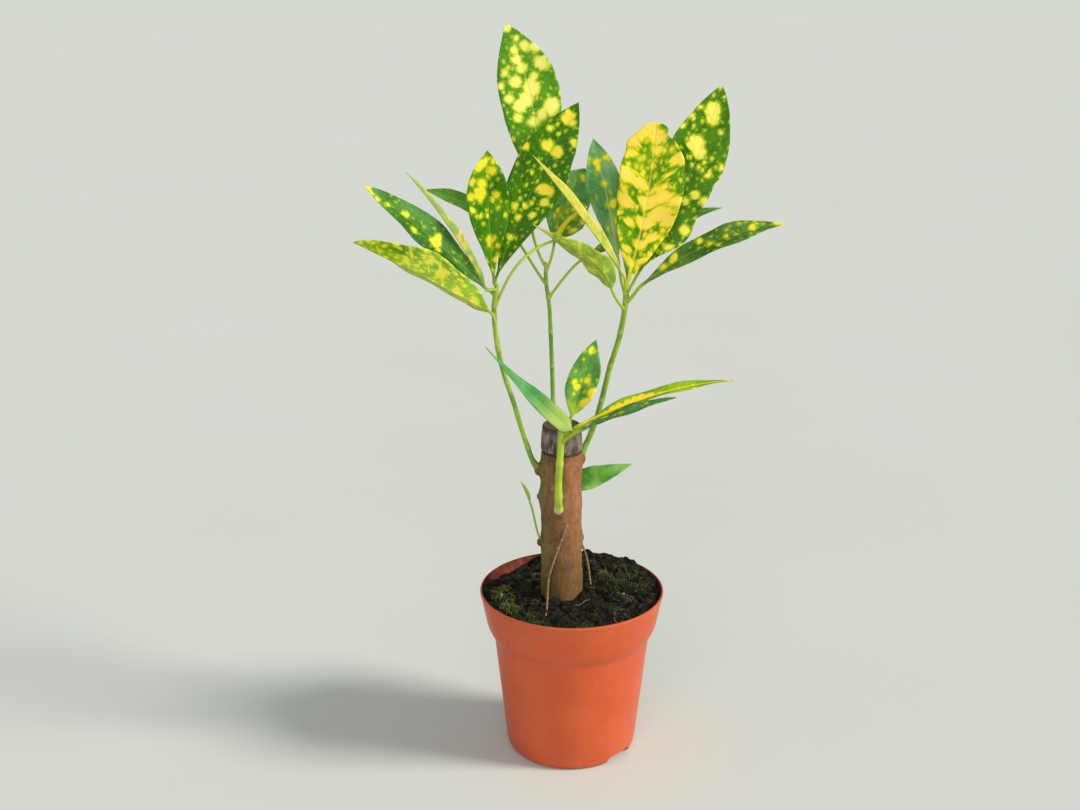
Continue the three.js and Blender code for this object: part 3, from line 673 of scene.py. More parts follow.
def make_leaf(name, leaf, seed):
    place, centre, along, passed = leaf_line(leaf)
    normal, side = [axis[:, None] for axis in leaf_axes(leaf, place, along)]
    opened = smooth(place, 0, BLADE_OPENING)[:, None]
    spread = outline(leaf, place)[:, None]
    radius = PETIOLE_RADIUS * (1 - RIB_TAPER * place)
    radius = radius * (leaf["stalk"] + FOOT_SWELL * bell(passed - passed[0], FOOT_REACH))
    radius, place_each, passed_each = radius[:, None], place[:, None], passed[:, None]

    # Lines across the blade, from -1 to 1, which run round the petiole.
    even = np.linspace(-1, 1, 2 * int(leaf["width"] / 2 / FINE_STEP) + 5)
    finer = EVEN_SHARE * even + (1 - EVEN_SHARE) * even * np.abs(even)
    a = mixed(np.sin(np.pi / 2 * even), finer, opened)
    reach = np.abs(a)
    half = np.maximum(leaf["width"] / 2 * spread, radius)
    half = half * uneven_edge(leaf, place, a, opened, seed)
    x = half * a

    fold = np.radians(leaf["fold"]) * opened
    ripple = np.sin(EDGE_WAVES * place_each + EDGE_SHIFT * np.sign(a) + leaf["width"])
    vein = (passed_each - VEIN_SLANT * np.abs(x)) / VEIN_GAP
    quilt = VEIN_DEPTH * np.cos(2 * np.pi * vein) * opened
    quilt = quilt * smooth(reach, 0.02, 0.2) * (1 - smooth(reach, 0.75, 1.0))
    waved = leaf["wave"] * opened * spread * reach ** 2 * ripple
    lift = half * reach * np.sin(fold) + waved - quilt
    surface = centre[:, None] + side * (x * np.cos(fold))[..., None] + normal * lift[..., None]
    face = normal * np.cos(fold)[..., None] - side * (np.sign(a) * np.sin(fold))[..., None]

    stalk_half = radius * np.maximum(SEAM_SHARE, np.cos(np.pi / 2 * even))
    sheet = mixed(EDGE_HALF, BLADE_HALF, np.sqrt(np.maximum(0, 1 - reach ** 2)))
    near_rib = np.maximum(0, 1 - (x / radius) ** 2)
    top = mixed(stalk_half, sheet - GROOVE_DEPTH * near_rib, opened)
    rib = RIB_HEIGHT * radius * np.sqrt(near_rib)
    bottom = mixed(stalk_half, np.maximum(sheet, rib), opened)

    def round_ring(above, below):
        return np.concatenate([above, below[:, ::-1]], axis=1)

    def both_sides(first, second, upper, lower):
        above, below = [np.stack(np.broadcast_arrays(first, second, third), axis=-1)
                        for third in (upper, lower)]
        return round_ring(above, below)

    rings = round_ring(surface + face * top[..., None], surface - face * bottom[..., None])
    reached = blotch_reach(leaf, place_each, a, passed[-1], half)
    values = {"leaf": both_sides(passed_each, x, 1.0, 0.0),
              "tone": both_sides(reached, place_each, 0.0, 0.0)}
    material = leaf_material(name, leaf, seed)
    make_object(f"{name}_fine", loft(rings, values), material, name)


def leaf_yellow(s, look, flat, veined, along, reached):
    """How deep a point lies in the yellow of its blotches, dots and washed patches."""
    offset = s.vector("SUBTRACT", s.noise(flat, 2.4, output="Color"), (0.5,) * 3)
    bent = s.vector("ADD", flat, s.scaled(offset, (2.4, 2.4, 0)))
    uneven = s.minus(s.noise(veined, 3.0, 2.5), 0.5)
    blot = s.plus(reached, s.times(uneven, look["ragged"]))
    cells = s.node("TexVoronoi", {"Vector": bent, "Scale": look["cells"], "Randomness": 1.0},
                   voronoi_dimensions="2D")
    chance = s.split(cells.outputs["Color"])[0]
    zone = s.remap(s.noise(flat, 15), 0.35, 0.65, -0.25, 0.15)
    size = s.times(s.plus(s.minus(chance, 1 - look["dots"]), zone), look["dot"] * 2)
    size = s.times(size, s.remap(along, 0.0, 8.0))
    dotted = s.minus(size, s.math("DIVIDE", cells.outputs["Distance"], look["cells"]))
    yellow = s.larger(blot, dotted)
    if look["wash"]:
        patch = s.minus(s.noise(veined, 6.5, 3), 0.66 - 0.22 * look["wash"])
        yellow = s.larger(yellow, s.times(patch, 16))
    return yellow


def leaf_material(name, look, seed):
    s = Shader(name)
    along, x, upper = s.attribute("leaf")
    reached, place, _ = s.attribute("tone")
    sideways = s.math("ABSOLUTE", x)
    vein = s.minus(along, s.times(sideways, VEIN_SLANT))
    flat = s.join(s.times(along, look["streak"]), x, seed * SEED_SHIFT)
    veined = s.join(vein, s.times(x, 0.5), seed * SEED_SHIFT)
    soft = s.noise(flat, 1.2, 4)
    crooked = s.plus(vein, s.times(s.noise(flat, 9), 2.0))
    lined = s.remap(s.math("COSINE", s.times(crooked, 2 * math.pi / VEIN_GAP)), 0.8, 1.0)

    base = s.fade(look["dark"], look["light"], s.noise(flat, 13), 0.32, 0.7)
    base = s.mix(s.times(lined, 0.1), base, look["rib"])
    base = s.fade(base, look["light"], soft, 0.35, 0.8, 0.3)
    yellow = leaf_yellow(s, look, flat, veined, along, reached)
    base = s.fade(base, look["halo"], yellow, -1.7, -0.2, 0.9)
    base = s.fade(base, look["spot"], yellow, -0.5, 0.8)
    base = s.fade(base, look["core"], yellow, 0.9, 3.2)
    base = s.fade(base, look["halo"], soft, 0.5, 0.8, 0.25)

    width = s.remap(place, 0.0, 1.0, 0.9 * look["rib_width"], 0.25 * look["rib_width"])
    ribbed = s.remap(s.math("DIVIDE", sideways, width), 0.4, 1.1, look["ribbed"], 0.0)
    base = s.mix(ribbed, base, look["rib"])
    pale = s.remap(place, look["under_to"] - 0.15, look["under_to"] + 0.05, look["under"], 0.0)
    base = s.mix(s.times(s.minus(1.0, upper), pale), base, look["underside"])
    foot = s.remap(along, -4.0, 3.0, 1.0, 0.0)
    if look["foot_to"]:
        foot = s.larger(foot, s.remap(place, look["foot_to"] * 0.3, look["foot_to"], 0.9, 0.0))
    base = s.mix(foot, base, look["foot"])
    height = s.plus(s.times(lined, -0.5), s.times(soft, 0.8))
    return s.finish(base, s.remap(soft, 0.3, 0.7, 0.38, 0.55), height, 0.1,
                    Specular_IOR_Level=0.22, Specular_Tint=(0.9, 1, 0.5, 1))


# ---- Shoots ----

# The tones of each shoot in its dark and light stretches and at its foot, and the foot's height.
SHOOT_TONES = {
    "left": (0x588810, 0x88B22C, 0x86643A, 5),
    "centre": (0x467E06, 0x70A01A, 0x86643A, 5),
    "right": (0x548606, 0x84AC1E, 0xA08C3E, 5),
    "front": (0x8CAC0E, 0xAECA24, 0xD6C87C, 9.5),
}
SHOOT_SLIMMING = 0.86  # the fine shoots swell at each joint, and stay as thick as the solids there
JOINT_SWELL = 0.16
JOINT_LIMIT = 1.4  # joints that lie close together swell no more than this many would
JOINT_REACH = 1.6
FIRST_SCAR = 18  # old leaf joints, between the shoot's foot and its leaves
LAST_SCAR = 12
SCAR_GAP = 23.0
SCAR_SHIFT = 4
FLARE = 1.4  # of the shoot's radius at its foot
FLARE_REACH = 9
SHOOT_SIDES = 18
SHOOT_STEP = 0.9
SHOOT_WOBBLE = 0.12


def shoot_material(name, low_tone, high_tone, foot_tone, foot):
    s = Shader(name + "_stem")
    along, angle, joint = s.attribute("shoot")
    place = s.position()
    streaks = s.noise(s.join(s.times(along, 0.15), s.times(angle, 2.5)), 0.7, 3)
    base = s.fade(low_tone, high_tone, s.noise(place, 12), 0.3, 0.7)
    base = s.fade(base, 0xACC246, streaks, 0.4, 0.7, 0.4)
    base = s.fade(base, 0xB0B254, joint, 0.2, 1.0, 0.55)
    base = s.fade(base, 0x78843C, s.noise(place, 0.9, 3), 0.6, 0.72, 0.5)
    base = s.mix(s.remap(along, foot - 1, foot + 4, 0.9, 0.0), base, foot_tone)
    return s.finish(base, s.remap(streaks, 0.3, 0.7, 0.42, 0.6), streaks, 0.15, Coat_Weight=0.1)


def make_shoot(name, points, radii, seed):
    total = catmull(points)[1][-1]
    scars = np.arange(FIRST_SCAR, total - LAST_SCAR, SCAR_GAP) + SCAR_SHIFT * np.sin(seed * 7)
    joints = [total - leaf["below"] for leaf in LEAVES[name]] + list(scars)

    def swelling(length):
        return sum(bell(length - reach, JOINT_REACH) for reach in joints)

    def radius_at(length):
        body = SHOOT_SLIMMING * shoot_radius(radii, length / total)
        body = body * (1 + JOINT_SWELL * np.minimum(JOINT_LIMIT, swelling(length)))
        return body + FLARE * bell(length, FLARE_REACH)

    rings, lengths = tube(points, radius_at, SHOOT_SIDES, SHOOT_STEP, SHOOT_WOBBLE, seed)
    angles = np.broadcast_to(-circle(SHOOT_SIDES), lengths.shape)
    values = {"shoot": np.stack([lengths, angles, swelling(lengths)], axis=-1)}
    material = shoot_material(name, *SHOOT_TONES[name])
    make_object(f"{name}_stem_fine", loft(rings, values), material, f"{name}_stem")


# ---- Trunk ----

TRUNK_SIDES = 112
TRUNK_STEP = 1.0
WAIST_Z = 140  # the trunk is a little slimmer round this height
WAIST_REACH = 25
TOP_WEAR = 1.2  # from the highest full ring to the sawn top
ROOT_RADIUS = 0.85
ROOT_TAPER = 0.004
# The worn edge and the sawn top, with a sunken pith: share of the radius, and drop.
SAWN_TOP = [(0.985, 0.7), (0.955, 0.25), (0.91, 0), (0.86, 0.1), (0.75, 0.2), (0.6, 0.1),
            (0.45, 0.2), (0.3, 0.4), (0.15, 0.9)]


def trunk_seats():
    """The middle and radius of each swelling: collars of shoots, and buds."""
    seats = []
    for points, radii in SHOOTS.values():
        seats.append((along_curve(catmull(points), SEAT_DEPTH), radii[0] + COLLAR_SWELL))
    buds = [(leaf["bud"], PETIOLE_RADIUS + 0.6 * COLLAR_SWELL) for leaf in LEAVES["trunk"]]
    buds += [(bud, BUD_RADIUS) for bud in BUDS]
    return seats + [(np.array(bud, float), radius) for bud, radius in buds]


def trunk_radius(angle, z):
    """The trunk's plain radius, and how far its collars and buds stand out of it."""
    place = (z - TRUNK_FOOT_Z) / (TRUNK_TOP_Z - TRUNK_FOOT_Z)
    plain = mixed(TRUNK_FOOT_RADIUS, TRUNK_TOP_RADIUS, place)
    plain = plain * (1 + unevenness(TRUNK_WAVES, angle, place))
    swollen = np.zeros_like(plain)
    for centre, radius in trunk_seats():
        away = centre[:2] - TRUNK_AXIS
        distance = np.hypot(*away)
        turn = angle - math.atan2(away[1], away[0])
        turn = (turn + np.pi) % (2 * np.pi) - np.pi
        rise = (z - centre[2]) / COLLAR_STRETCH
        inside = radius ** 2 - (distance * np.sin(turn)) ** 2 - rise ** 2
        sphere = distance * np.cos(turn) + np.sqrt(np.maximum(inside, 0))
        proud = np.where((inside > 0) & (np.cos(turn) > 0), np.maximum(0, sphere - plain), 0)
        proud = 0.9 * proud * smooth(inside / radius ** 2, 0, 0.7)
        skirt = bell(np.hypot(distance * turn, 0.7 * rise), radius * 1.6)
        swollen = np.maximum(swollen, np.hypot(proud, 1.3 * skirt))
    return plain, swollen


def bark_relief(spot, z):
    """How far the bark lies above the plain trunk: grain, growth rings and the wax's lower edge."""
    tall = spot * np.array([1, 1, 0.3])
    relief = 0.2 * rough(tall, 2.8, 3) + 0.12 * rough(spot, 1.4, 5) + 0.5 * rough(spot, 10, 8)
    relief = relief - 0.45 - 0.3 * bell(z - WAIST_Z, WAIST_REACH)
    relief = relief * mixed(1, 0.35, smooth(z, WAX_FOOT_Z - 2.5, WAX_FOOT_Z + 2.5))
    rings = np.minimum(0, np.sin(z * 0.33 + 0.8 * rough(spot, 14, 2))) ** 2
    step = bell(z - WAX_FOOT_Z - 0.8 * rough(spot, 5, 11), 0.8)
    return relief - 0.35 * rings - 0.9 * step


def make_trunk():
    angles = circle(TRUNK_SIDES)
    angle, z = np.meshgrid(angles, np.arange(TRUNK_FOOT_Z, TRUNK_TOP_Z - TOP_WEAR, TRUNK_STEP))
    plain, swollen = trunk_radius(angle, z)
    reach = plain + swollen + bark_relief(ring(plain, z, angle), z)
    rings = list(ring(reach, z, angle, TRUNK_AXIS))
    tops = [0] * len(rings)
    for share, drop in SAWN_TOP:
        inner = ring(reach[-1] * share, z[-1], angles, TRUNK_AXIS)
        inner[:, 2] = TRUNK_TOP_Z - drop - 0.25 * np.abs(rough(inner, 2.5, 21))
        rings.append(inner)
        tops.append(1)
    swollen = np.vstack([swollen, np.zeros((len(SAWN_TOP), TRUNK_SIDES))])
    top = np.repeat(np.array(tops, float)[:, None], TRUNK_SIDES, axis=1)
    values = {"bark": np.stack([swollen, top, 0 * top], axis=-1)}
    make_object("trunk_fine", loft(np.stack(rings), values), bark_material(), "trunk")

    material = root_material()
    for index, line in enumerate(AERIAL_ROOTS):
        root = strand(line, lambda length: ROOT_RADIUS - ROOT_TAPER * length, 12, 1.0, 0.2, index)
        make_object(f"aerial_root_{index + 1}", root, material)


def bark_material():
    s = Shader("bark")
    swollen, top, _ = s.attribute("bark")
    place = s.position()
    x, y, z = s.split(place)
    tall = s.scaled(place, (1, 1, 0.35))
    patches = s.noise(tall, 9, 3)
    grain = s.noise(tall, 1.6, 5)
    fine = s.noise(place, 0.8, 4)
    base = s.fade(0x5E4622, 0x8C6438, patches, 0.35, 0.65)
    # Painted highlight: the bark grows lighter and redder towards the trunk's right side, where the
    # key lamp shines from.
    base = s.fade(base, 0xAA7048, x, -14.0, 4.0, 0.6)
    base = s.fade(base, 0x584620, z, 176.0, 118.0, 0.6)
    greenish = s.times(s.remap(x, -13.0, -20.0), s.remap(patches, 0.4, 0.6, 0.1, 0.6))
    base = s.mix(greenish, base, 0x68762C)
    base = s.fade(base, 0x3E2C18, grain, 0.58, 0.36, 0.3)
    base = s.fade(base, 0xA88860, fine, 0.56, 0.75, 0.25)
    girdled = s.noise(s.scaled(place, (0.35, 0.35, 1)), 2.6, 3)
    base = s.fade(base, 0x5C3E26, girdled, 0.55, 0.75, 0.3)
    base = s.fade(base, 0x704A38, swollen, 0.8, 2.2, 0.6)

    waxy = s.fade(0x42382C, 0x887C70, s.noise(tall, 4, 3), 0.35, 0.62)
    waxy = s.fade(waxy, 0xACA098, s.noise(tall, 2.2, 3), 0.55, 0.7, 0.45)
    waxy = s.fade(waxy, 0x3E2C20, z, 220.0, 225.0, 0.75)
    wax_edge = WAX_FOOT_Z + 0.9
    uneven = s.plus(z, s.times(s.noise(place, 6), 2.0))
    base = s.fade(base, waxy, uneven, wax_edge - 0.1, wax_edge + 1)
    line = s.remap(s.math("ABSOLUTE", s.minus(uneven, wax_edge)), 0.3, 1.5, 0.85, 0.0)
    base = s.mix(line, base, 0x281E18)

    radius = s.length(*[s.minus(value, float(axis)) for value, axis in zip((x, y), TRUNK_AXIS)])
    year = s.math("SINE", s.plus(s.times(radius, 3.6), s.noise(place, 4)))
    wood = s.fade(0x46382A, 0x6E5C46, year, -0.4, 0.8)
    wood = s.fade(wood, 0x54402E, fine, 0.45, 0.7, 0.6)
    base = s.mix(s.times(top, s.remap(radius, 11.8, 11.0)), base, wood)
    height = s.plus(grain, s.times(fine, 0.4))
    return s.finish(base, s.remap(fine, 0.3, 0.7, 0.6, 0.85), height, 0.4, Specular_IOR_Level=0.3)


def root_material():
    return speckled("root", 0x705838, 0x9E865E, 1.3, 0.8)


# ---- Soil ----

# Heights and radii of the collar, in a softer curve than the solid's.
COLLAR_Z = (COLLAR_FOOT_Z, 81, 82.5, 84.5, 88, 91, POT_HEIGHT)
COLLAR_RADII = (COLLAR_FOOT_RADIUS, 51.3, 52.1, 53.4, 55, 55.9, RIM_RADIUS)

SOIL_SIDES = 200
SOIL_RINGS = 52
SOIL_GAP = 0.35  # between the soil and the pot's wall
SOIL_RISE = 3.2  # of the lumpy top above the solid's
CLODS = [(2.0, 8, 31), (1.2, 3.4, 32), (0.6, 1.6, 33)]  # height, size and seed
MOUNDS = [(24, 44, 3.2, 24), (-52, -2, 3.4, 18), (-18, 52, 3.0, 12),
          (-38, 40, -3.4, 15)]  # x, y, height and reach; the last one is a hollow
LITTER_REACH = 54
# Name, count, sizes, flatness, two tones, and the size of their specks.
LITTER = [
    ("soil_crumbs", 650, (0.8, 2.4), 0.7, 0x0A0A07, 0x2C281B, 1.2),
    ("bark_chips", 30, (1.4, 3.0), 0.35, 0x281C10, 0x5C4228, 1.5),
    ("perlite", 6, (0.6, 1.1), 0.9, 0x968E7C, 0xCEC8B8, 1),
]
MOSS = [(-45, -6, 8), (-40, -21, 7), (-30, -36, 6), (-20, -45, 5), (30, 12, 7), (38, 26, 8),
        (22, 22, 6), (35, -10, 7), (-46, 4, 5), (45, 8, 7), (8, -46, 5), (28, -26, 6),
        (-24, 22, 5), (10, 38, 7)]  # x, y and size of each tuft
MOSS_DENSITY = 24
MOSS_LENGTHS = (1.0, 2.6)
MOSS_RADIUS = 0.37
MOSS_TIP = 0.06
HAIR_COUNT = 10
HAIR_RADIUS = 0.2
HAIR_STEPS = 6
HAIR_STEP = 3.2


def wall_radius(z):
    slope = mixed(BASE_RADIUS, COLLAR_FOOT_RADIUS, z / COLLAR_FOOT_Z)
    return np.where(z < COLLAR_FOOT_Z, slope, np.interp(z, COLLAR_Z, COLLAR_RADII))


def from_trunk(x, y):
    return np.hypot(x - TRUNK_AXIS[0], y - TRUNK_AXIS[1])


def soil_surface(x, y):
    """The soil's top with its clods and mounds, heaped against the trunk."""
    flat = np.stack([x, y, np.zeros_like(x)], axis=-1)
    level = SOIL_LEVEL + SOIL_TILT * (x + y) / (2 * RIM_RADIUS) + unevenness(SOIL_WAVES, x, y)
    clods = sum(height * rough(flat, size, seed) for height, size, seed in CLODS)
    mounds = sum(height * bell(np.hypot(x - mound_x, y - mound_y), reach)
                 for mound_x, mound_y, height, reach in MOUNDS)
    return level + SOIL_RISE + 1.5 * bell(from_trunk(x, y) - 15, 5) + clods + mounds


def soil_material():
    s = Shader("soil")
    place = s.position()
    clods = s.noise(place, 5, 4)
    grit = s.noise(place, 0.9, 4)
    base = s.fade(0x090906, 0x1E1C13, clods, 0.35, 0.65)
    base = s.fade(base, 0x423A28, grit, 0.6, 0.72, 0.6)
    mossy = s.times(s.remap(s.noise(place, 12, 3), 0.52, 0.66), s.remap(grit, 0.4, 0.6))
    base = s.mix(s.times(mossy, 0.7), base, 0x323C16)
    gloss = s.remap(grit, 0.3, 0.7, 0.8, 1.0)
    return s.finish(base, gloss, s.plus(clods, grit), 1.2, Specular_IOR_Level=0.15)


def make_soil():
    angles = circle(SOIL_SIDES)
    gap = POT_WALL + SOIL_GAP
    rings = [ring(wall_radius(z) - gap, z, angles)
             for z in np.linspace(SOIL_FOOT_Z, SOIL_LEVEL - 8, 12)]
    near_wall = ring(RIM_RADIUS * 0.95, 0, angles)
    outermost = wall_radius(soil_surface(near_wall[:, 0], near_wall[:, 1])) - gap
    for share in np.linspace(1, 0.02, SOIL_RINGS):
        level = ring(outermost * share, 0, angles)
        level[:, 2] = soil_surface(level[:, 0], level[:, 1])
        rings.append(level)
    make_object("soil_fine", loft(np.stack(rings)), soil_material(), "soil")


def lump(chooser, size, flatness):
    """An irregular little stone: a ball of 42 points, pushed in and out."""
    ball = bmesh.new()
    bmesh.ops.create_icosphere(ball, subdivisions=2, radius=1)
    shift = Vector([chooser.uniform(-50, 50) for _ in range(3)])
    stretch = Vector((size * chooser.uniform(0.8, 1.2), size * chooser.uniform(0.7, 1.1),
                      size * flatness))
    turn = Matrix.Rotation(chooser.uniform(0, math.tau), 3, "Z") @ Matrix.Rotation(
        chooser.uniform(-0.5, 0.5), 3, "X")
    points = []
    for vertex in ball.verts:
        pushed = vertex.co * (1 + 0.45 * noise.noise(vertex.co * 1.3 + shift))
        points.append(turn @ (pushed * stretch))
    faces = [[vertex.index for vertex in face.verts] for face in ball.faces]
    ball.free()
    return np.array(points), faces


def on_soil(x, y, sink):
    return np.array([x, y, soil_surface(np.array([x]), np.array([y]))[0] - sink])


def scatter(chooser, count, inner, outer):
    """Places on the soil, clear of the trunk and of the pot's wall."""
    places = []
    while len(places) < count:
        x, y = chooser.uniform(-outer, outer), chooser.uniform(-outer, outer)
        if math.hypot(x, y) < outer and from_trunk(x, y) > inner:
            places.append((x, y))
    return places


def make_litter():
    chooser = random.Random(7)
    for name, count, sizes, flatness, low, high, grain in LITTER:
        parts = []
        for x, y in scatter(chooser, count, 17, LITTER_REACH):
            size = chooser.uniform(*sizes)
            points, faces = lump(chooser, size, flatness)
            parts.append((points + on_soil(x, y, size * 0.1), faces))
        material = speckled(name, low, high, grain, Specular_IOR_Level=0.2)
        make_object(name, join_parts(parts), material, soft=name != "bark_chips")


def moss_blade(chooser, x, y, size):
    away = size * math.sqrt(chooser.random())
    angle = chooser.uniform(0, math.tau)
    foot = on_soil(x + away * math.cos(angle), y + away * math.sin(angle), 0.5)
    lean = np.array([chooser.gauss(0, 0.5), chooser.gauss(0, 0.5), 1])
    tip = foot + unit(lean) * chooser.uniform(*MOSS_LENGTHS)
    bend = (foot + tip) / 2 + np.array([chooser.gauss(0, 0.4), chooser.gauss(0, 0.4), 0.3])
    reach = np.linalg.norm(tip - foot)

    def radius_at(length):
        return np.maximum(MOSS_TIP, MOSS_RADIUS - 0.3 * length / reach)

    return strand([foot, bend, tip], radius_at, 5, 0.8)


def make_moss():
    chooser = random.Random(11)
    parts = [moss_blade(chooser, x, y, size)
             for x, y, size in MOSS for _ in range(size * MOSS_DENSITY)]
    make_object("moss", join_parts(parts), moss_material())


def moss_material():
    s = Shader("moss")
    place = s.position()
    fine = s.noise(place, 0.8, 3)
    base = s.fade(0x162008, 0x425812, s.noise(place, 7, 3), 0.35, 0.65)
    base = s.fade(base, 0x687A2C, fine, 0.45, 0.7, 0.5)
    base = s.fade(base, 0x768622, s.split(place)[0], -28.0, -44.0, 0.6)
    return s.finish(base, 0.8, fine, 0.2)


def make_root_hairs():
    chooser = random.Random(5)
    parts = []
    for x, y in scatter(chooser, HAIR_COUNT, 18, 46):
        heading = chooser.uniform(0, math.tau)
        line = []
        for step in range(HAIR_STEPS):
            heading += chooser.gauss(0, 0.45)
            x += HAIR_STEP * math.cos(heading)
            y += HAIR_STEP * math.sin(heading)
            if math.hypot(x, y) > LITTER_REACH or from_trunk(x, y) < 16:
                break
            line.append(on_soil(x, y, 0.6 if step in (0, HAIR_STEPS - 1) else -0.35))
        if len(line) > 3:
            parts.append(strand(line, lambda length: HAIR_RADIUS, 6, 0.9))
    make_object("root_hairs", join_parts(parts), root_material())


# ---- Pot ----

POT_SIDES = 192
MERGE_REACH = 0.003  # the cuts leave slivers thinner than this
WALL_Z = (6, 30, 55, 77.5, 78.6, 79.6, 80.4, 81, 81.7, 82.5, 83.5, 84.5, 86, 88, 91, 100, 108)
LIP = [(0.15, 2.2), (0, 1.4), (0, 0.6), (0.18, 0.18), (RIM_ROUNDING, 0)]  # inwards, and down


def pot_profile(inset, top):
    """Radius and height along the pot's wall, from its axis below to its axis above."""
    bevel = np.radians(np.arange(0, 91, 15))
    foot = [(BASE_RADIUS - BASE_ROUNDING * (1 - math.sin(turn)) - inset,
             BASE_ROUNDING * (1 - math.cos(turn)) + inset) for turn in bevel]
    wall = [(float(wall_radius(z)) - inset, z) for z in WALL_Z]
    lip = [(RIM_RADIUS - inset - inwards, top - down) for inwards, down in LIP]
    return [(0.5, inset), *foot, *wall, *lip, (0.5, top)]


def turned_solid(profile):
    angles = circle(POT_SIDES)
    rings = [ring(radius, z, angles) for radius, z in profile]
    return link_mesh("turned", *loft(np.stack(rings))[:2])


def notch_directions():
    angles = NOTCH_FIRST_ANGLE + np.arange(NOTCH_COUNT) * 360 / NOTCH_COUNT
    return [np.array([math.cos(angle), math.sin(angle)]) for angle in np.radians(angles)]


def notch_blocks(grown):
    """An arched block pointing outwards at each drainage notch."""
    half = NOTCH_WIDTH / 2 + grown
    shoulder = NOTCH_HEIGHT + grown - NOTCH_ROUNDING
    arch = [(half, -1)]
    for turn in np.radians(np.linspace(0, 90, 9)):
        arch.append((half - NOTCH_ROUNDING * (1 - math.cos(turn)),
                     shoulder + NOTCH_ROUNDING * math.sin(turn)))
    arch += [(-across, z) for across, z in reversed(arch)]
    blocks = []
    for outwards in notch_directions():
        across = np.array([-outwards[1], outwards[0]])
        ends = [[[*(outwards * reach + across * side), z] for side, z in arch]
                for reach in (NOTCH_INNER_RADIUS - grown, RIM_RADIUS)]
        blocks.append(loft(np.array(ends))[:2])
    return link_mesh("notches", *join_parts(blocks))


def drain_holes():
    holes = []
    for outwards in notch_directions():
        ends = [ring(DRAIN_RADIUS, z, circle(32), DRAIN_REACH * outwards)
                for z in (NOTCH_HEIGHT - 4, NOTCH_HEIGHT + 4)]
        holes.append(loft(np.stack(ends))[:2])
    return link_mesh("holes", *join_parts(holes))


def cut(piece, other):
    change = piece.modifiers.new("cut", "BOOLEAN")
    change.object = other
    change.operation = "DIFFERENCE"
    change.solver = "EXACT"
    graph = bpy.context.evaluated_depsgraph_get()
    mesh = bpy.data.meshes.new_from_object(piece.evaluated_get(graph))
    piece.modifiers.clear()
    piece.data = mesh
    bpy.data.objects.remove(other)


def make_pot():
    pot = turned_solid(pot_profile(0, POT_HEIGHT))
    inside = turned_solid(pot_profile(POT_WALL, POT_HEIGHT + 1))
    cut(pot, notch_blocks(0))
    cut(inside, notch_blocks(POT_WALL))
    cut(pot, inside)
    cut(pot, drain_holes())
    mesh = pot.data
    merged = bmesh.new()
    merged.from_mesh(mesh)
    bmesh.ops.remove_doubles(merged, verts=merged.verts, dist=MERGE_REACH)
    merged.to_mesh(mesh)
    merged.free()
    mesh.transform(Matrix.Scale(MM, 4))
    mesh.shade_smooth()
    mesh.set_sharp_from_angle(angle=math.radians(35))
    mesh.materials.clear()
    pot.name = mesh.name = "pot_fine"
    declare(pot, pot_material(), "pot")


def pot_material():
    s = Shader("pot")
    place = s.position()
    x, y, z = s.split(place)
    drawn = s.noise(s.scaled(place, (1, 1, 0.08)), 2.4, 4)
    base = s.fade(0xC24E20, 0xC85628, s.noise(place, 26, 3), 0.3, 0.7)
    base = s.fade(base, 0xDA7048, drawn, 0.5, 0.8, 0.12)
    scuffed = s.times(s.remap(s.noise(place, 3.0, 5), 0.62, 0.75), s.remap(z, 30.0, 0.0))
    base = s.mix(s.times(scuffed, 0.5), base, 0xD88C68)
    blots = s.noise(place, 5, 4)
    dusty = s.times(s.remap(z, 104.0, 112.0), s.remap(blots, 0.5, 0.7))
    base = s.mix(s.times(dusty, 0.3), base, 0x965034)

    # Painted shade on the wall inside the rim, in patches, between the middle of the wall's
    # thickness and the axis.
    collar_z, collar_radius = COLLAR_Z[-2], COLLAR_RADII[-2]
    slope = (RIM_RADIUS - collar_radius) / (POT_HEIGHT - collar_z)
    wall = s.plus(s.times(z, slope), collar_radius - collar_z * slope - POT_WALL / 2)
    inside = s.remap(s.minus(wall, s.length(x, y)), -0.3, 0.3)
    painted_shade_inside = s.times(s.times(inside, s.remap(z, 97.0, 99.0)), s.remap(blots, 0.3, 0.6, 0.7, 0.95))
    base = s.mix(painted_shade_inside, base, 0x4A2418)
    return s.finish(base, s.remap(drawn, 0.35, 0.65, 0.36, 0.48), s.noise(place, 0.45, 3), 0.05,
                    Specular_IOR_Level=0.45)


# ---- Stage ----

FLOOR_HALF = 15000
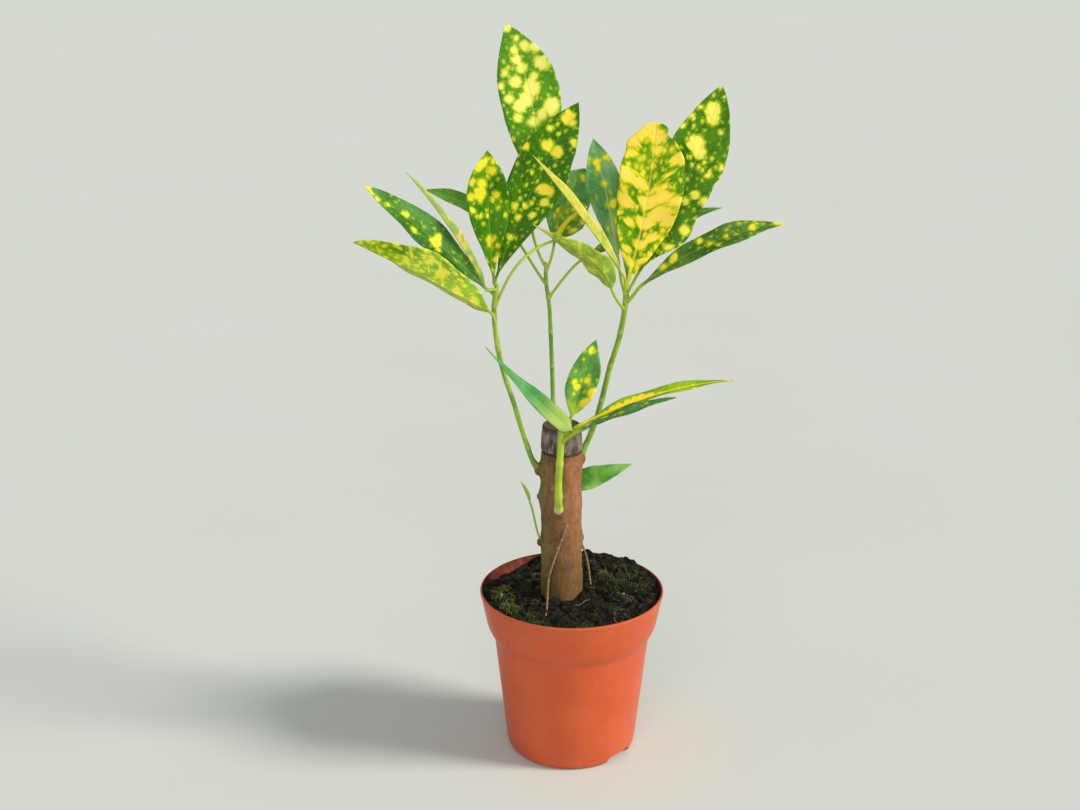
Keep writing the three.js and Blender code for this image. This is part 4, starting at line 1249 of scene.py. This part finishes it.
# Each lamp: the place it shines from, its width in degrees, its power and its colour.
LAMPS = {
    "key": ((2.2, -0.5, 1.4), 18, 3.4, (1, 0.98, 0.93)),
    "front": ((-0.3, -2, 1.0), 45, 1.1, (1, 1, 0.98)),
}
SKY_TINT = (0.95, 0.97, 1, 1)
SKY_STRENGTH = 0.4
CAMERA_PLACE = (-0.0208, -1.0872, 0.6195)
CAMERA_PITCH = 19.28  # degrees below the horizon
CAMERA_LENS = 60.667
CAMERA_FAR = 30


def make_floor():
    corners = np.array([(-1, -1, 0), (1, -1, 0), (1, 1, 0), (-1, 1, 0)])
    floor = link_mesh("floor", corners * FLOOR_HALF * MM, [(0, 1, 2, 3)])
    s = Shader("floor")
    base = s.fade(0xCBCFC8, 0xCDD1CB, s.noise(s.position(), 260, 3), 0.3, 0.7)
    floor.data.materials.append(s.finish(base, 1.0, Specular_IOR_Level=0.0))


def make_light(name, place, softness, power, tint):
    """A wide, far lamp that shines to the origin."""
    lamp = bpy.data.lights.new(name, "SUN")
    lamp.angle = math.radians(softness)
    lamp.energy = power
    lamp.color = tint
    light = bpy.data.objects.new(name, lamp)
    light.location = place
    light.rotation_euler = (-Vector(place)).to_track_quat("-Z", "Y").to_euler()
    bpy.context.scene.collection.objects.link(light)


def make_stage():
    make_floor()
    for name, lamp in LAMPS.items():
        make_light(name, *lamp)
    world = bpy.data.worlds.new("studio")
    world.use_nodes = True
    sky = world.node_tree.nodes["Background"]
    sky.inputs["Color"].default_value = SKY_TINT
    sky.inputs["Strength"].default_value = SKY_STRENGTH
    scene = bpy.context.scene
    scene.world = world
    scene.view_settings.view_transform = "Standard"
    camera = bpy.data.objects.new("camera", bpy.data.cameras.new("camera"))
    camera.data.lens = CAMERA_LENS
    camera.data.clip_end = CAMERA_FAR
    camera.location = CAMERA_PLACE
    camera.rotation_euler = (math.radians(90 - CAMERA_PITCH), 0, 0)
    scene.collection.objects.link(camera)
    scene.camera = camera


make_pot()
make_soil()
make_litter()
make_moss()
make_root_hairs()
make_trunk()
for number, (shoot_name, (shoot_points, shoot_radii)) in enumerate(SHOOTS.items()):
    make_shoot(shoot_name, shoot_points, shoot_radii, number + 1)
leaf_count = 0
for stem, leaves in LEAVES.items():
    for number, form in enumerate(leaves):
        leaf_count += 1
        make_leaf(f"{stem}_leaf_{number + 1}", PLAIN_LEAF | dict(shoot=stem) | form, leaf_count)
make_stage()
